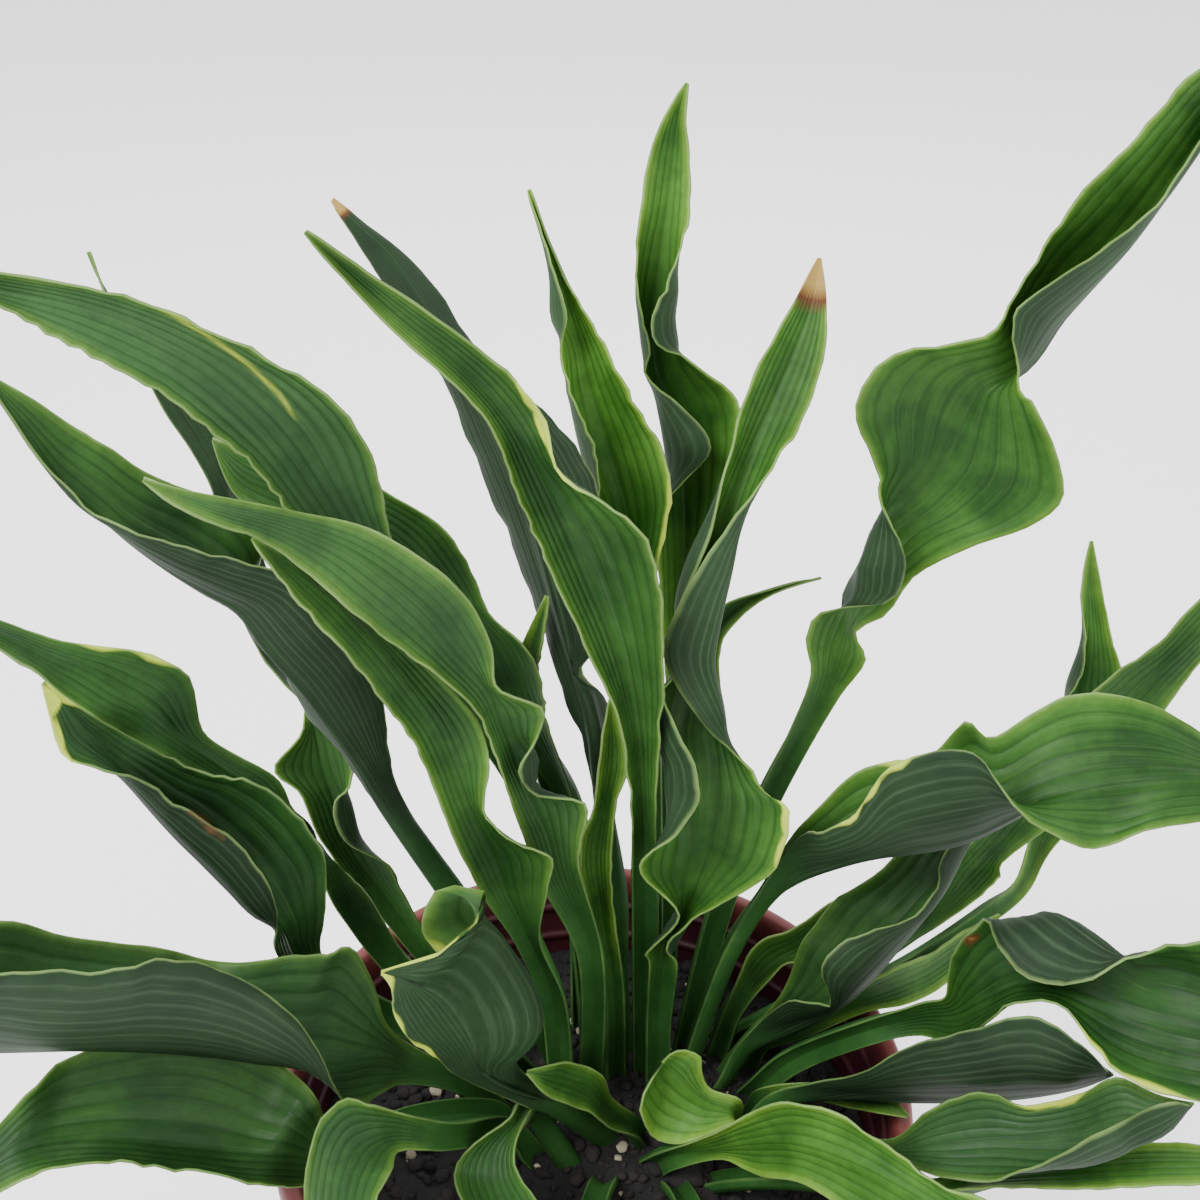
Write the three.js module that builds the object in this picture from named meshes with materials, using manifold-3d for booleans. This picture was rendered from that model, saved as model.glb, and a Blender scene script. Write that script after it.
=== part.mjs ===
// A hosta in a round plastic nursery pot: pot, soil, crown and 38 single leaves.
// Millimetres, +Z up, +Y away from the viewer, origin at the middle of the pot's foot.
import * as THREE from "three";
import { mergeVertices } from "three/addons/utils/BufferGeometryUtils.js";
import Module from "manifold-3d";

// Driving dimensions
const potHeight = 200;
const rimRadius = 110;
const rimBand = 15;
const footRadius = 84;
const wall = 2.4;
const floorThickness = 3;
const lipOverhang = 5;
const ringDepths = [15, 29];
const ringHeight = 3.5;
const ringReach = 1.4;
const drainCount = 8;
const drainRadius = 6;
const drainPlace = 62;
const soilDepth = 38;
const clearance = 0.3;
const crownCentre = [16, 23];
const crownRadius = 58;
const crownRise = 7;
const crownDepth = 22;
const footHeight = 156.5;
const collarHeight = 172;
const steepestLean = 0.85;
const stalkHalf = 4;
const thinStalkHalf = 3;
const stalkLift = 2.5;
const holeRadius = 5.7;
const thinHoleRadius = 4.9;
const marginThickness = 0.8;
const ribThickness = 3.2;
const tipHalf = 0.6;
const longestStep = 27;
const stalkBow = 0.12;
const tipBow = 0.05;
const ribTaper = 1.3;
const besideRib = 0.3;
const footChamfer = 2;
const lipRounding = 3;
const bandStep = 1;
const potSides = 40;
const drainSides = 12;
const crownSides = 28;
const holeSides = 7;
const openEnd = 1;

// The viewpoint from which the plant is described. A point of a leaf is given as
// [column, row, depth]: where it shows in a square picture of 1200 units seen from
// here, and how far back it lies, in millimetres behind the pot's middle.
const eye = new THREE.Vector3(2.7, -358, 612);
const eyeTilt = THREE.MathUtils.degToRad(31.4);
const pictureMiddle = 600;
const pictureReach = 1500;

function sight([column, row, depth]) {
  const across = (column - pictureMiddle) / pictureReach;
  const down = (row - pictureMiddle) / pictureReach;
  const back = Math.cos(eyeTilt) - down * Math.sin(eyeTilt);
  const fall = -Math.sin(eyeTilt) - down * Math.cos(eyeTilt);
  const reach = (depth - eye.y) / back;
  return new THREE.Vector3(eye.x + across * reach, depth, eye.z + fall * reach);
}

// The leaves. root is where the stalk stands in the crown, in millimetres; stalk is
// its middle line; each row of the blade is [left margin, midrib, right margin], with
// the upper face towards the reader when the tip is up; bow says how far each half
// bellies down between rib and margin, as a share of its width, row by row or evenly.
const leaves = {
  M: {
    root: [20, 28],
    stalk: [[645, 960, 27], [645, 880, 22]],
    rows: [
      [[632, 800, 11], [642, 800, 17], [655, 800, 11]],
      [[618, 715, 5], [630, 715, 12], [661, 705, 0]],
      [[590, 655, 0], [612, 645, 7], [662, 640, -8]],
      [[560, 590, -2], [588, 585, 5], [657, 580, -12]],
      [[538, 540, -4], [566, 535, 3], [640, 533, -12]],
      [[520, 500, -5], [548, 495, 1], [600, 503, -13]],
      [[508, 465, -6], [532, 462, 0], [556, 472, -12]],
      [[497, 438, -7], [516, 432, -2], [545, 425, -6]],
      [[480, 410, -8], [492, 400, -4], [520, 388, -9]],
      [[441, 372, -8], [455, 362, -5], [480, 352, -9]],
      [[400, 337, -4], [408, 325, -2], [428, 314, -6]],
      [[350, 284, 0], [352, 276, 2], [362, 270, -1]],
    ],
    tip: [305, 232, 2],
    bowLeft: [0.1, 0.1, 0.15, 0.2],
    bowRight: [0.1, 0.2, 0.2, 0.1],
  },
  N: {
    root: [12, 40],
    stalk: [[616, 980, 38], [615, 900, 37]],
    rows: [
      [[608, 800, 36], [603, 800, 32], [596, 800, 35]],
      [[606, 740, 38], [596, 740, 31], [584, 740, 36]],
      [[605, 700, 36], [588, 700, 30], [567, 700, 37]],
      [[582, 670, 28], [578, 665, 30], [556, 665, 38]],
      [[600, 640, 36], [568, 630, 30], [543, 625, 40]],
      [[598, 560, 42], [548, 560, 32], [520, 560, 43]],
      [[600, 500, 45], [530, 500, 34], [497, 505, 45]],
      [[575, 450, 46], [505, 440, 36], [470, 440, 46]],
      [[530, 400, 47], [478, 385, 38], [443, 375, 46]],
      [[470, 345, 47], [445, 335, 40], [412, 330, 46]],
      [[437, 292, 48], [415, 290, 42], [388, 287, 46]],
      [[402, 254, 48], [388, 252, 45], [366, 254, 47]],
      [[365, 226, 48], [358, 225, 46], [348, 226, 47]],
    ],
    tip: [332, 200, 48],
    bowLeft: [0.12],
    bowRight: [0.12],
  },
  O: {
    root: [22, 47],
    stalk: [[650, 900, 50], [648, 760, 58]],
    rows: [
      [[640, 680, 60], [647, 680, 64], [654, 680, 60]],
      [[625, 620, 60], [640, 615, 67], [655, 610, 60]],
      [[608, 560, 61], [632, 560, 70], [657, 560, 60]],
      [[600, 505, 61], [626, 510, 73], [670, 500, 61]],
      [[596, 450, 62], [612, 455, 75], [660, 448, 64]],
      [[572, 395, 66], [590, 385, 78], [628, 395, 68]],
      [[562, 352, 72], [580, 345, 80], [605, 348, 73]],
      [[567, 318, 70], [570, 310, 82], [585, 315, 76]],
      [[556, 275, 74], [555, 262, 82], [562, 275, 79]],
      [[541, 228, 80], [540, 225, 84], [545, 235, 82]],
    ],
    tip: [529, 190, 84],
    bowLeft: [0.1, 0.1, 0.1, 0.3, 0.8, 0.5, 0.3, 0.8, 0.4, 0.1],
    bowRight: [0.1],
  },
  P: {
    root: [27, 58],
    stalk: [[668, 900, 66], [672, 780, 78]],
    rows: [
      [[668, 700, 87], [678, 690, 90], [690, 690, 86]],
      [[662, 620, 87], [680, 620, 94], [700, 610, 86]],
      [[660, 560, 86], [684, 560, 97], [716, 540, 86]],
      [[668, 500, 86], [684, 500, 100], [730, 480, 87]],
      [[711, 449, 86], [680, 450, 104], [739, 425, 91]],
      [[680, 405, 92], [668, 400, 108], [730, 393, 95]],
      [[648, 377, 100], [656, 372, 110], [687, 361, 96]],
      [[651, 352, 102], [652, 345, 112], [655, 343, 97]],
      [[645, 325, 104], [652, 318, 114], [652, 316, 100]],
      [[640, 298, 106], [655, 288, 116], [664, 290, 103]],
      [[637, 255, 110], [660, 250, 118], [676, 257, 109]],
      [[641, 215, 114], [666, 212, 120], [688, 218, 114]],
      [[648, 165, 118], [672, 165, 122], [689, 162, 119]],
      [[663, 122, 121], [677, 120, 124], [685, 118, 122]],
    ],
    tip: [687, 83, 125],
    bowLeft: [0.1, 0.1, 0.15, 0.4, 0.9, 0.6, 0.2, 0.5, 0.5, 0.5, 0.3, 0.1, 0.1, 0.1],
    bowRight: [0.1, 0.1, 0.1, 0.1, 0.1, 0.1, 0.3, 0.9, 0.9, 0.8, 0.5, 0.15, 0.1, 0.1],
  },
  Q: {
    root: [24, 17],
    stalk: [[658, 1020, 20]],
    rows: [
      [[650, 962, 13], [662, 968, 18], [676, 965, 14]],
      [[648, 953, 10], [668, 942, 17], [665, 948, 10]],
      [[680, 916, 6], [685, 912, 15], [692, 920, 8]],
      [[643, 876, 2], [698, 882, 13], [737, 895, 4]],
      [[652, 853, 0], [708, 855, 12], [772, 872, 0]],
      [[680, 832, -2], [714, 825, 12], [788, 830, 0]],
      [[698, 802, -2], [718, 795, 13], [785, 806, 2]],
      [[698, 772, 0], [718, 765, 15], [762, 790, 8]],
      [[680, 735, 2], [714, 735, 17], [738, 758, 10]],
      [[665, 695, 8], [708, 700, 20], [705, 727, 8]],
      [[680, 660, 12], [694, 655, 22], [665, 660, 10]],
      [[682, 610, 15], [700, 605, 26], [677, 608, 14]],
      [[700, 565, 21], [712, 560, 32], [704, 560, 20]],
      [[716, 515, 30], [728, 510, 40], [738, 512, 30]],
      [[730, 460, 42], [748, 455, 52], [775, 460, 42]],
      [[745, 400, 55], [775, 395, 64], [806, 412, 56]],
      [[768, 350, 66], [796, 345, 74], [823, 355, 67]],
      [[790, 312, 75], [810, 308, 80], [826, 315, 76]],
    ],
    tip: [820, 258, 88],
    bowLeft: [
      0.1, 0.2, 0.3, 0.2, 0.4, 1, 1.4, 1.4, 1.2, 0.6, 0.4, 0.6, 0.8, 0.5, 0.2, 0.1, 0.1, 0.1,
    ],
    bowRight: [
      0.1, 0.1, 0.1, 0.1, 0.1, 0.1, 0.1, 0.1, 0.2, 0.8, 1.3, 1.3, 1, 0.6, 0.3, 0.1, 0.1, 0.1,
    ],
  },
  S: {
    root: [32, 38],
    stalk: [[722, 900, 46], [772, 788, 53]],
    rows: [
      [[812, 675, 58], [826, 690, 60], [840, 697, 59]],
      [[807, 640, 58], [838, 650, 62], [866, 660, 60]],
      [[826, 613, 58], [850, 616, 64], [857, 630, 68]],
      [[885, 603, 54], [852, 596, 66], [884, 617, 73]],
      [[905, 570, 52], [869, 563, 67], [918, 574, 68]],
      [[900, 540, 54], [882, 528, 67], [975, 546, 60]],
      [[881, 500, 57], [915, 497, 69], [1035, 524, 56]],
      [[878, 468, 59], [943, 465, 68], [1064, 492, 54]],
      [[857, 403, 59], [970, 412, 68], [1035, 408, 56]],
      [[885, 360, 58], [985, 388, 68], [1022, 394, 60]],
      [[945, 346, 58], [1018, 372, 70], [1015, 366, 60]],
      [[990, 337, 60], [1035, 357, 73], [1012, 335, 60]],
      [[1014, 297, 65], [1060, 320, 77], [1022, 303, 60]],
      [[1045, 250, 68], [1088, 288, 79], [1062, 275, 62]],
      [[1078, 200, 70], [1128, 243, 80], [1112, 242, 66]],
      [[1135, 140, 70], [1172, 180, 79], [1160, 198, 69]],
      [[1195, 75, 70], [1222, 108, 78], [1206, 134, 71]],
      [[1240, 45, 71], [1254, 68, 76], [1250, 82, 72]],
      [[1240, 45, 71], [1250, 52, 76], [1252, 75, 72]],
    ],
    tip: [1285, 5, 78],
    bowLeft: [
      0.1, 0.15, 0.2, 0.6, 1, 0.8, 0.4, 0.25, 0.2, 0.15, 0.15, 0.15, 0.3, 0.4, 0.2, 0.15, 0.1, 0.1, 0.1,
    ],
    bowRight: [
      0.1, 0.15, 0.2, 0.3, 0.2, 0.15, 0.1, 0.1, 0.1, 0.1, 0.1, 0.2, 0.25, 0.25, 0.25, 0.2, 0.2, 0.15, 0.1,
    ],
  },
  T: {
    root: [39, 58],
    thin: true,
    stalk: [[712, 940, 74], [722, 820, 92], [715, 720, 104]],
    rows: [
      [[704, 670, 109], [710, 665, 112], [718, 668, 109]],
      [[706, 628, 113], [716, 632, 117], [722, 640, 113]],
      [[726, 605, 118], [738, 608, 122], [742, 615, 119]],
      [[765, 592, 124], [770, 592, 126], [772, 594, 125]],
    ],
    tip: [821, 577, 132],
    bowLeft: [0.12],
    bowRight: [0.12],
  },
  AK: {
    root: [-4, 53],
    thin: true,
    stalk: [[578, 900, 53], [550, 780, 50]],
    rows: [
      [[516, 720, 45], [526, 715, 47], [536, 715, 44]],
      [[511, 680, 42], [522, 680, 45], [536, 680, 40]],
      [[522, 645, 37], [531, 650, 37], [541, 645, 31]],
    ],
    tip: [547, 597, 27],
    bowLeft: [0.12],
    bowRight: [0.12],
  },
  AM: {
    root: [9, 28],
    thin: true,
    stalk: [[613, 980, 23]],
    rows: [
      [[588, 905, 19], [601, 905, 23], [612, 903, 20]],
      [[580, 855, 16], [596, 855, 21], [611, 850, 18]],
      [[596, 800, 19], [606, 800, 23], [616, 800, 20]],
      [[600, 760, 21], [613, 760, 25], [626, 772, 22]],
      [[606, 722, 24], [612, 725, 26], [620, 732, 24]],
    ],
    tip: [611, 700, 24],
    bowLeft: [0.12],
    bowRight: [0.12],
  },
  A: {
    root: [1, 41],
    stalk: [[575, 900, 38], [520, 780, 34], [465, 700, 29]],
    rows: [
      [[398, 640, 20], [420, 628, 26], [438, 612, 24]],
      [[345, 580, 12], [375, 570, 22], [405, 575, 20]],
      [[290, 510, 6], [330, 500, 18], [386, 520, 17]],
      [[250, 462, 2], [290, 440, 14], [368, 450, 13]],
      [[205, 425, 0], [250, 398, 11], [325, 395, 10]],
      [[155, 388, -1], [205, 362, 9], [262, 358, 8]],
      [[100, 360, -2], [140, 328, 6], [180, 318, 5]],
      [[50, 333, -3], [75, 305, 4], [110, 294, 3]],
      [[0, 305, -4], [5, 290, 2], [20, 277, 1]],
      [[-45, 290, -5], [-50, 280, -1], [-40, 270, -1]],
    ],
    tip: [-100, 278, -6],
    bowLeft: [0.1, 0.3, 0.3, 0.2],
    bowRight: [0.1, 0.25, 0.2, 0.1],
  },
  B: {
    root: [-13, 43],
    stalk: [[490, 1015, 44], [430, 955, 42]],
    rows: [
      [[372, 905, 38], [392, 905, 42], [400, 890, 38]],
      [[340, 865, 35], [362, 868, 41], [388, 866, 36]],
      [[318, 835, 34], [345, 838, 40], [345, 842, 32]],
      [[302, 795, 34], [335, 805, 40], [333, 805, 32]],
      [[275, 768, 36], [322, 770, 42], [350, 782, 35]],
      [[303, 732, 42], [315, 735, 45], [345, 740, 40]],
      [[300, 690, 56], [298, 692, 50], [288, 690, 42]],
      [[292, 640, 60], [268, 640, 54], [253, 642, 50]],
      [[262, 560, 64], [238, 560, 58], [222, 560, 56]],
      [[236, 488, 68], [222, 490, 62], [212, 492, 60]],
      [[233, 452, 68], [205, 450, 66], [190, 450, 64]],
      [[215, 415, 72], [175, 405, 68], [163, 410, 66]],
      [[150, 338, 74], [138, 342, 70], [130, 345, 68]],
      [[108, 296, 74], [106, 296, 73], [104, 295, 72]],
    ],
    tip: [88, 252, 76],
    bowLeft: [0.1],
    bowRight: [0.1, 0.2, 1, 1, 0.4, 0.1, 0.1, 0.1, 0.1, 0.1, 0.1, 0.1, 0.1, 0.1],
  },
  C: {
    root: [-8, 31],
    stalk: [[520, 990, 20], [452, 895, 15]],
    rows: [
      [[400, 795, 13], [385, 800, 10], [372, 795, 14]],
      [[388, 752, 12], [362, 762, 8], [342, 752, 14]],
      [[384, 712, 10], [335, 725, 5], [304, 706, 13]],
      [[370, 665, 6], [305, 685, 3], [272, 645, 14]],
      [[335, 615, 0], [272, 648, 2], [245, 612, 16]],
      [[300, 580, -3], [240, 607, 3], [258, 575, 20]],
      [[268, 568, -4], [205, 588, 4], [256, 534, 18]],
      [[225, 557, -5], [170, 567, 5], [212, 500, 18]],
      [[180, 545, -5], [135, 542, 5], [150, 475, 16]],
      [[135, 531, -4], [100, 512, 5], [110, 448, 14]],
      [[95, 512, -2], [65, 482, 6], [75, 428, 13]],
      [[45, 463, 2], [30, 435, 6], [35, 400, 11]],
      [[8, 410, 6], [0, 396, 7], [0, 380, 9]],
    ],
    tip: [-25, 362, 8],
    bowLeft: [0.15, 0.25, 0.25, 0.15],
    bowRight: [0.1, 0.2, 0.2, 0.1],
  },
  D: {
    root: [-1, 17],
    stalk: [[590, 950, 10]],
    rows: [
      [[538, 880, 4], [560, 880, 6], [579, 870, 3]],
      [[525, 840, 1], [548, 838, 4], [580, 845, -1]],
      [[515, 812, -1], [535, 808, 3], [584, 804, -2]],
      [[508, 790, -4], [526, 785, 2], [535, 796, -5]],
      [[500, 765, -7], [516, 762, 1], [518, 770, -9]],
      [[492, 742, -9], [507, 738, -1], [535, 741, -6]],
      [[484, 722, -11], [498, 715, -3], [543, 711, -4]],
      [[470, 703, -14], [488, 690, -6], [498, 691, -9]],
      [[435, 672, -18], [458, 655, -9], [492, 648, -8]],
      [[398, 647, -21], [425, 615, -13], [465, 597, -9]],
      [[350, 610, -25], [382, 578, -18], [415, 554, -12]],
      [[308, 573, -30], [340, 550, -24], [365, 527, -17]],
      [[262, 540, -36], [285, 527, -30], [305, 513, -24]],
      [[210, 522, -41], [225, 510, -37], [240, 500, -32]],
      [[170, 502, -43], [175, 494, -41], [183, 489, -39]],
    ],
    tip: [143, 480, -43],
    bowLeft: [0.1, 0.15, 0.2, 0.1],
    bowRight: [0.1, 0.1, 0.1, 0.5, 1.1, 0.4, 0.1, 0.1, 0.15, 0.2, 0.2, 0.2, 0.15, 0.1, 0.1],
  },
  E: {
    root: [-10, 8],
    stalk: [[553, 1000, 8], [527, 935, 2]],
    rows: [
      [[485, 900, -5], [508, 895, -1], [547, 892, -5]],
      [[470, 870, -8], [496, 862, -2], [550, 858, -7]],
      [[456, 842, -10], [482, 832, -4], [515, 844, -9]],
      [[443, 810, -12], [468, 800, -6], [484, 815, -9]],
      [[430, 775, -14], [455, 765, -8], [489, 768, -8]],
      [[413, 740, -18], [438, 725, -10], [481, 728, -6]],
      [[390, 708, -21], [412, 688, -12], [452, 690, -6]],
      [[355, 663, -23], [378, 645, -14], [410, 650, -8]],
      [[320, 625, -24], [340, 605, -16], [366, 621, -10]],
      [[290, 590, -24], [305, 578, -18], [325, 580, -13]],
      [[267, 560, -23], [275, 555, -19], [290, 553, -17]],
    ],
    tip: [252, 538, -20],
    bowLeft: [0.1, 0.2, 0.2, 0.1],
    bowRight: [0.1, 0.1, 0.15, 0.15, 0.2, 0.2, 0.2, 0.15, 0.1, 0.1, 0.1],
  },
  F: {
    root: [7, 51],
    stalk: [[592, 900, 43], [570, 800, 43]],
    rows: [
      [[520, 745, 40], [535, 735, 38], [545, 722, 30]],
      [[495, 700, 37], [515, 690, 37], [543, 700, 29]],
      [[470, 650, 35], [492, 645, 36], [530, 655, 30]],
      [[440, 615, 35], [465, 605, 36], [490, 615, 36]],
      [[405, 580, 35], [432, 570, 37], [474, 578, 38]],
      [[365, 545, 35], [395, 535, 39], [445, 531, 40]],
      [[320, 535, 36], [345, 505, 41], [390, 495, 44]],
      [[262, 512, 40], [290, 485, 43], [320, 462, 47]],
      [[232, 492, 44], [248, 468, 44], [262, 452, 47]],
    ],
    tip: [212, 440, 48],
    bowLeft: [0.15],
    bowRight: [0.15],
  },
  G1: {
    root: [-19, 31],
    stalk: [[480, 1030, 21], [400, 968, 13]],
    rows: [
      [[335, 905, 3], [352, 907, 7], [367, 895, 8]],
      [[315, 858, -3], [330, 862, 3], [345, 872, 6]],
      [[292, 830, -2], [310, 832, 0], [316, 838, 4]],
      [[262, 805, -5], [278, 806, -3], [292, 806, 3]],
      [[232, 788, -7], [248, 785, -5], [276, 777, 2]],
      [[198, 775, -8], [215, 762, -6], [225, 748, 0]],
      [[165, 757, -9], [182, 738, -7], [202, 728, -1]],
      [[130, 738, -9], [152, 712, -8], [189, 678, 0]],
      [[100, 720, -17], [122, 692, -8], [150, 655, 0]],
      [[65, 697, -17], [85, 670, -9], [108, 647, -2]],
      [[38, 673, -17], [48, 655, -10], [60, 640, -4]],
      [[0, 650, -16], [5, 635, -12], [12, 624, -7]],
      [[-35, 625, -16], [-38, 617, -14], [-38, 608, -10]],
    ],
    tip: [-75, 600, -16],
    bowLeft: [0.15],
    bowRight: [0.1, 0.1, 0.1, 0.1, 0.15, 0.2, 0.2, 0.25, 0.25, 0.2, 0.1, 0.1, 0.1],
  },
  G2: {
    root: [-14, 19],
    stalk: [[480, 1054, 9], [400, 1022, 2], [345, 992, -4]],
    rows: [
      [[280, 960, -14], [300, 962, -11], [322, 955, -6]],
      [[277, 922, -26], [281, 925, -19], [326, 905, -10]],
      [[273, 895, -33], [258, 905, -19], [325, 860, -10]],
      [[257, 865, -35], [232, 880, -19], [308, 830, -13]],
      [[235, 840, -36], [206, 855, -20], [283, 802, -13]],
      [[205, 820, -37], [178, 828, -23], [250, 782, -15]],
      [[172, 800, -38], [153, 802, -26], [212, 776, -18]],
      [[138, 778, -39], [127, 775, -29], [172, 760, -22]],
      [[95, 766, -39], [102, 748, -31], [132, 738, -23]],
      [[64, 757, -38], [82, 727, -33], [100, 720, -28]],
      [[50, 715, -37], [65, 705, -34], [75, 704, -31]],
    ],
    tip: [44, 683, -35],
    bowLeft: [0.1, 0.3, 0.4, 0.4, 0.4, 0.4, 0.35, 0.25, 0.1, 0.1, 0.1],
    bowRight: [0.15, 0.2, 0.2, 0.1],
  },
  I: {
    root: [-27, 13],
    stalk: [[460, 1080, 3]],
    rows: [
      [[400, 1085, -12], [415, 1070, -6], [420, 1050, -2]],
      [[365, 1105, -28], [385, 1058, -16], [386, 1022, -12]],
      [[345, 1103, -38], [355, 1062, -24], [374, 985, -13]],
      [[332, 1078, -45], [325, 1064, -30], [352, 949, -14]],
      [[313, 1040, -50], [295, 1062, -34], [327, 955, -18]],
      [[285, 1008, -54], [262, 1058, -38], [300, 955, -18]],
      [[245, 980, -58], [225, 1052, -42], [255, 962, -22]],
      [[200, 962, -62], [180, 1048, -46], [210, 960, -20]],
      [[155, 960, -65], [130, 1046, -50], [165, 949, -25]],
      [[110, 970, -68], [80, 1046, -54], [115, 943, -30]],
      [[55, 970, -71], [30, 1048, -58], [60, 935, -36]],
      [[0, 975, -74], [-25, 1050, -62], [0, 922, -44]],
      [[-60, 1000, -77], [-80, 1052, -68], [-65, 945, -54]],
    ],
    tip: [-150, 1055, -76],
    bowLeft: [0.1, 0.2, 0.35, 0.3, 0.2, 0.2, 0.2, 0.2, 0.2, 0.2, 0.2, 0.1, 0.1],
    bowRight: [0.15, 0.2, 0.2, 0.2, 0.15],
  },
  J: {
    root: [-22, 2],
    stalk: [[500, 1116, 0], [400, 1124, -24]],
    rows: [
      [[322, 1180, -51], [327, 1163, -45], [333, 1150, -40]],
      [[298, 1187, -59], [304, 1158, -49], [326, 1122, -39]],
      [[270, 1184, -68], [272, 1155, -56], [312, 1092, -42]],
      [[235, 1178, -71], [235, 1152, -56], [280, 1064, -33]],
      [[195, 1170, -74], [195, 1148, -59], [235, 1040, -35]],
      [[150, 1164, -77], [150, 1143, -63], [185, 1033, -39]],
      [[105, 1161, -80], [108, 1140, -67], [130, 1040, -44]],
      [[60, 1166, -83], [62, 1142, -71], [80, 1053, -49]],
      [[20, 1180, -86], [18, 1152, -78], [35, 1087, -65]],
      [[-15, 1200, -89], [-15, 1172, -82], [0, 1123, -72]],
      [[-40, 1222, -92], [-42, 1200, -87], [-35, 1165, -79]],
    ],
    tip: [-75, 1245, -94],
    bowLeft: [0.15],
    bowRight: [0.1, 0.2, 0.25, 0.25, 0.2, 0.1],
  },
  K: {
    root: [-14, -6],
    stalk: [[510, 1132, -9], [440, 1136, -36]],
    rows: [
      [[398, 1152, -52], [388, 1134, -50], [378, 1108, -50]],
      [[393, 1168, -62], [358, 1146, -58], [345, 1100, -52]],
      [[380, 1190, -72], [343, 1175, -68], [318, 1125, -58]],
      [[372, 1215, -80], [338, 1210, -78], [305, 1180, -72]],
      [[366, 1250, -92], [338, 1250, -90], [308, 1235, -83]],
    ],
    tip: [343, 1310, -102],
    bowLeft: [0.2],
    bowRight: [0.2],
  },
  Lc: {
    root: [11, 5],
    stalk: [[560, 1105, -12]],
    rows: [
      [[545, 1083, -10], [532, 1093, -16], [520, 1104, -20]],
      [[512, 1060, -20], [482, 1064, -31], [455, 1072, -34]],
      [[500, 1000, -8], [472, 1042, -37], [430, 1052, -44]],
      [[440, 955, -8], [455, 1015, -42], [407, 1036, -50]],
      [[421, 925, -10], [438, 995, -45], [393, 1012, -52]],
      [[440, 888, -14], [422, 985, -48], [392, 996, -53]],
      [[485, 893, -26], [408, 979, -50], [390, 986, -53]],
      [[460, 940, -44], [395, 975, -51], [385, 979, -53]],
    ],
    tip: [381, 973, -53],
    bowLeft: [0.3, 0.5, 1.1, 1.2, 1.1, 0.9, 0.5, 0.1],
    bowRight: [0.1],
  },
  AE: {
    root: [21, 4],
    thin: true,
    stalk: [[634, 1128, -5]],
    rows: [
      [[612, 1128, -14], [607, 1112, -12], [613, 1098, -6]],
      [[592, 1113, -20], [590, 1092, -17], [603, 1076, -9]],
      [[565, 1103, -26], [565, 1082, -23], [580, 1065, -14]],
      [[542, 1091, -30], [545, 1077, -28], [556, 1064, -22]],
    ],
    tip: [527, 1072, -28],
    bowLeft: [0.3],
    bowRight: [0.3],
  },
  AF: {
    root: [-3, -10],
    thin: true,
    stalk: [[530, 1110, -8]],
    rows: [
      [[521, 1128, -26], [514, 1126, -25], [507, 1122, -27]],
      [[514, 1150, -34], [495, 1150, -32], [470, 1148, -33]],
      [[517, 1172, -40], [490, 1175, -38], [454, 1172, -38]],
      [[535, 1200, -50], [500, 1205, -48], [462, 1200, -49]],
      [[545, 1240, -62], [510, 1245, -60], [475, 1240, -61]],
      [[535, 1275, -74], [515, 1280, -72], [495, 1275, -73]],
    ],
    tip: [512, 1320, -76],
    bowLeft: [0.12],
    bowRight: [0.12],
  },
  AG: {
    root: [6, -10],
    stalk: [[594, 1208, -40]],
    rows: [
      [[612, 1232, -60], [590, 1230, -60], [568, 1232, -60]],
      [[622, 1275, -86], [578, 1278, -88], [534, 1275, -86]],
      [[602, 1350, -112], [558, 1350, -114], [516, 1358, -116]],
      [[564, 1425, -130], [534, 1430, -135], [508, 1440, -139]],
    ],
    tip: [494, 1495, -155],
    bowLeft: [0.12],
    bowRight: [0.12],
  },
  AH: {
    root: [27, -12],
    stalk: [[688, 1208, -40]],
    rows: [
      [[715, 1232, -60], [692, 1230, -60], [672, 1232, -60]],
      [[752, 1275, -84], [708, 1278, -88], [666, 1280, -88]],
      [[782, 1346, -107], [737, 1350, -113], [697, 1361, -117]],
      [[794, 1425, -124], [764, 1433, -131], [738, 1443, -136]],
    ],
    tip: [800, 1506, -149],
    bowLeft: [0.12],
    bowRight: [0.12],
  },
  AD1: {
    root: [35, -3],
    thin: true,
    stalk: [[730, 1128, -6]],
    rows: [
      [[735, 1122, -16], [732, 1112, -12], [740, 1099, -8]],
      [[700, 1138, -22], [708, 1102, -12], [710, 1088, -6]],
      [[672, 1144, -21], [690, 1090, -11], [702, 1070, -4]],
      [[650, 1133, -21], [678, 1078, -10], [700, 1056, -2]],
      [[642, 1105, -22], [670, 1070, -9], [683, 1050, -2]],
    ],
    tip: [663, 1063, -10],
    bowLeft: [0.3],
    bowRight: [0.3],
  },
  AD2: {
    root: [16, -6],
    stalk: [[670, 1156, -18]],
    rows: [
      [[705, 1138, -24], [715, 1150, -24], [722, 1160, -26]],
      [[740, 1120, -30], [750, 1145, -32], [758, 1176, -38]],
      [[785, 1103, -38], [795, 1145, -42], [803, 1184, -50]],
      [[835, 1115, -48], [845, 1160, -54], [850, 1215, -64]],
      [[890, 1150, -60], [905, 1190, -68], [905, 1255, -80]],
      [[930, 1180, -72], [960, 1225, -82], [960, 1290, -96]],
      [[1000, 1215, -88], [1015, 1265, -98], [1010, 1320, -110]],
      [[1050, 1290, -104], [1055, 1310, -112], [1050, 1350, -122]],
    ],
    tip: [1085, 1370, -130],
    bowLeft: [0.15, 0.3, 0.3, 0.2],
    bowRight: [0.2],
  },
  V: {
    root: [31, 27],
    stalk: [[730, 950, 27], [765, 895, 25]],
    rows: [
      [[790, 838, 27], [794, 874, 20], [798, 838, 14]],
      [[820, 806, 28], [835, 860, 16], [828, 829, 6]],
      [[855, 773, 29], [875, 851, 12], [856, 812, 3]],
      [[893, 761, 29], [910, 846, 9], [886, 770, 1]],
      [[930, 756, 26], [945, 841, 7], [925, 753, -1]],
      [[965, 722, 22], [975, 833, 5], [965, 750, -3]],
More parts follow.
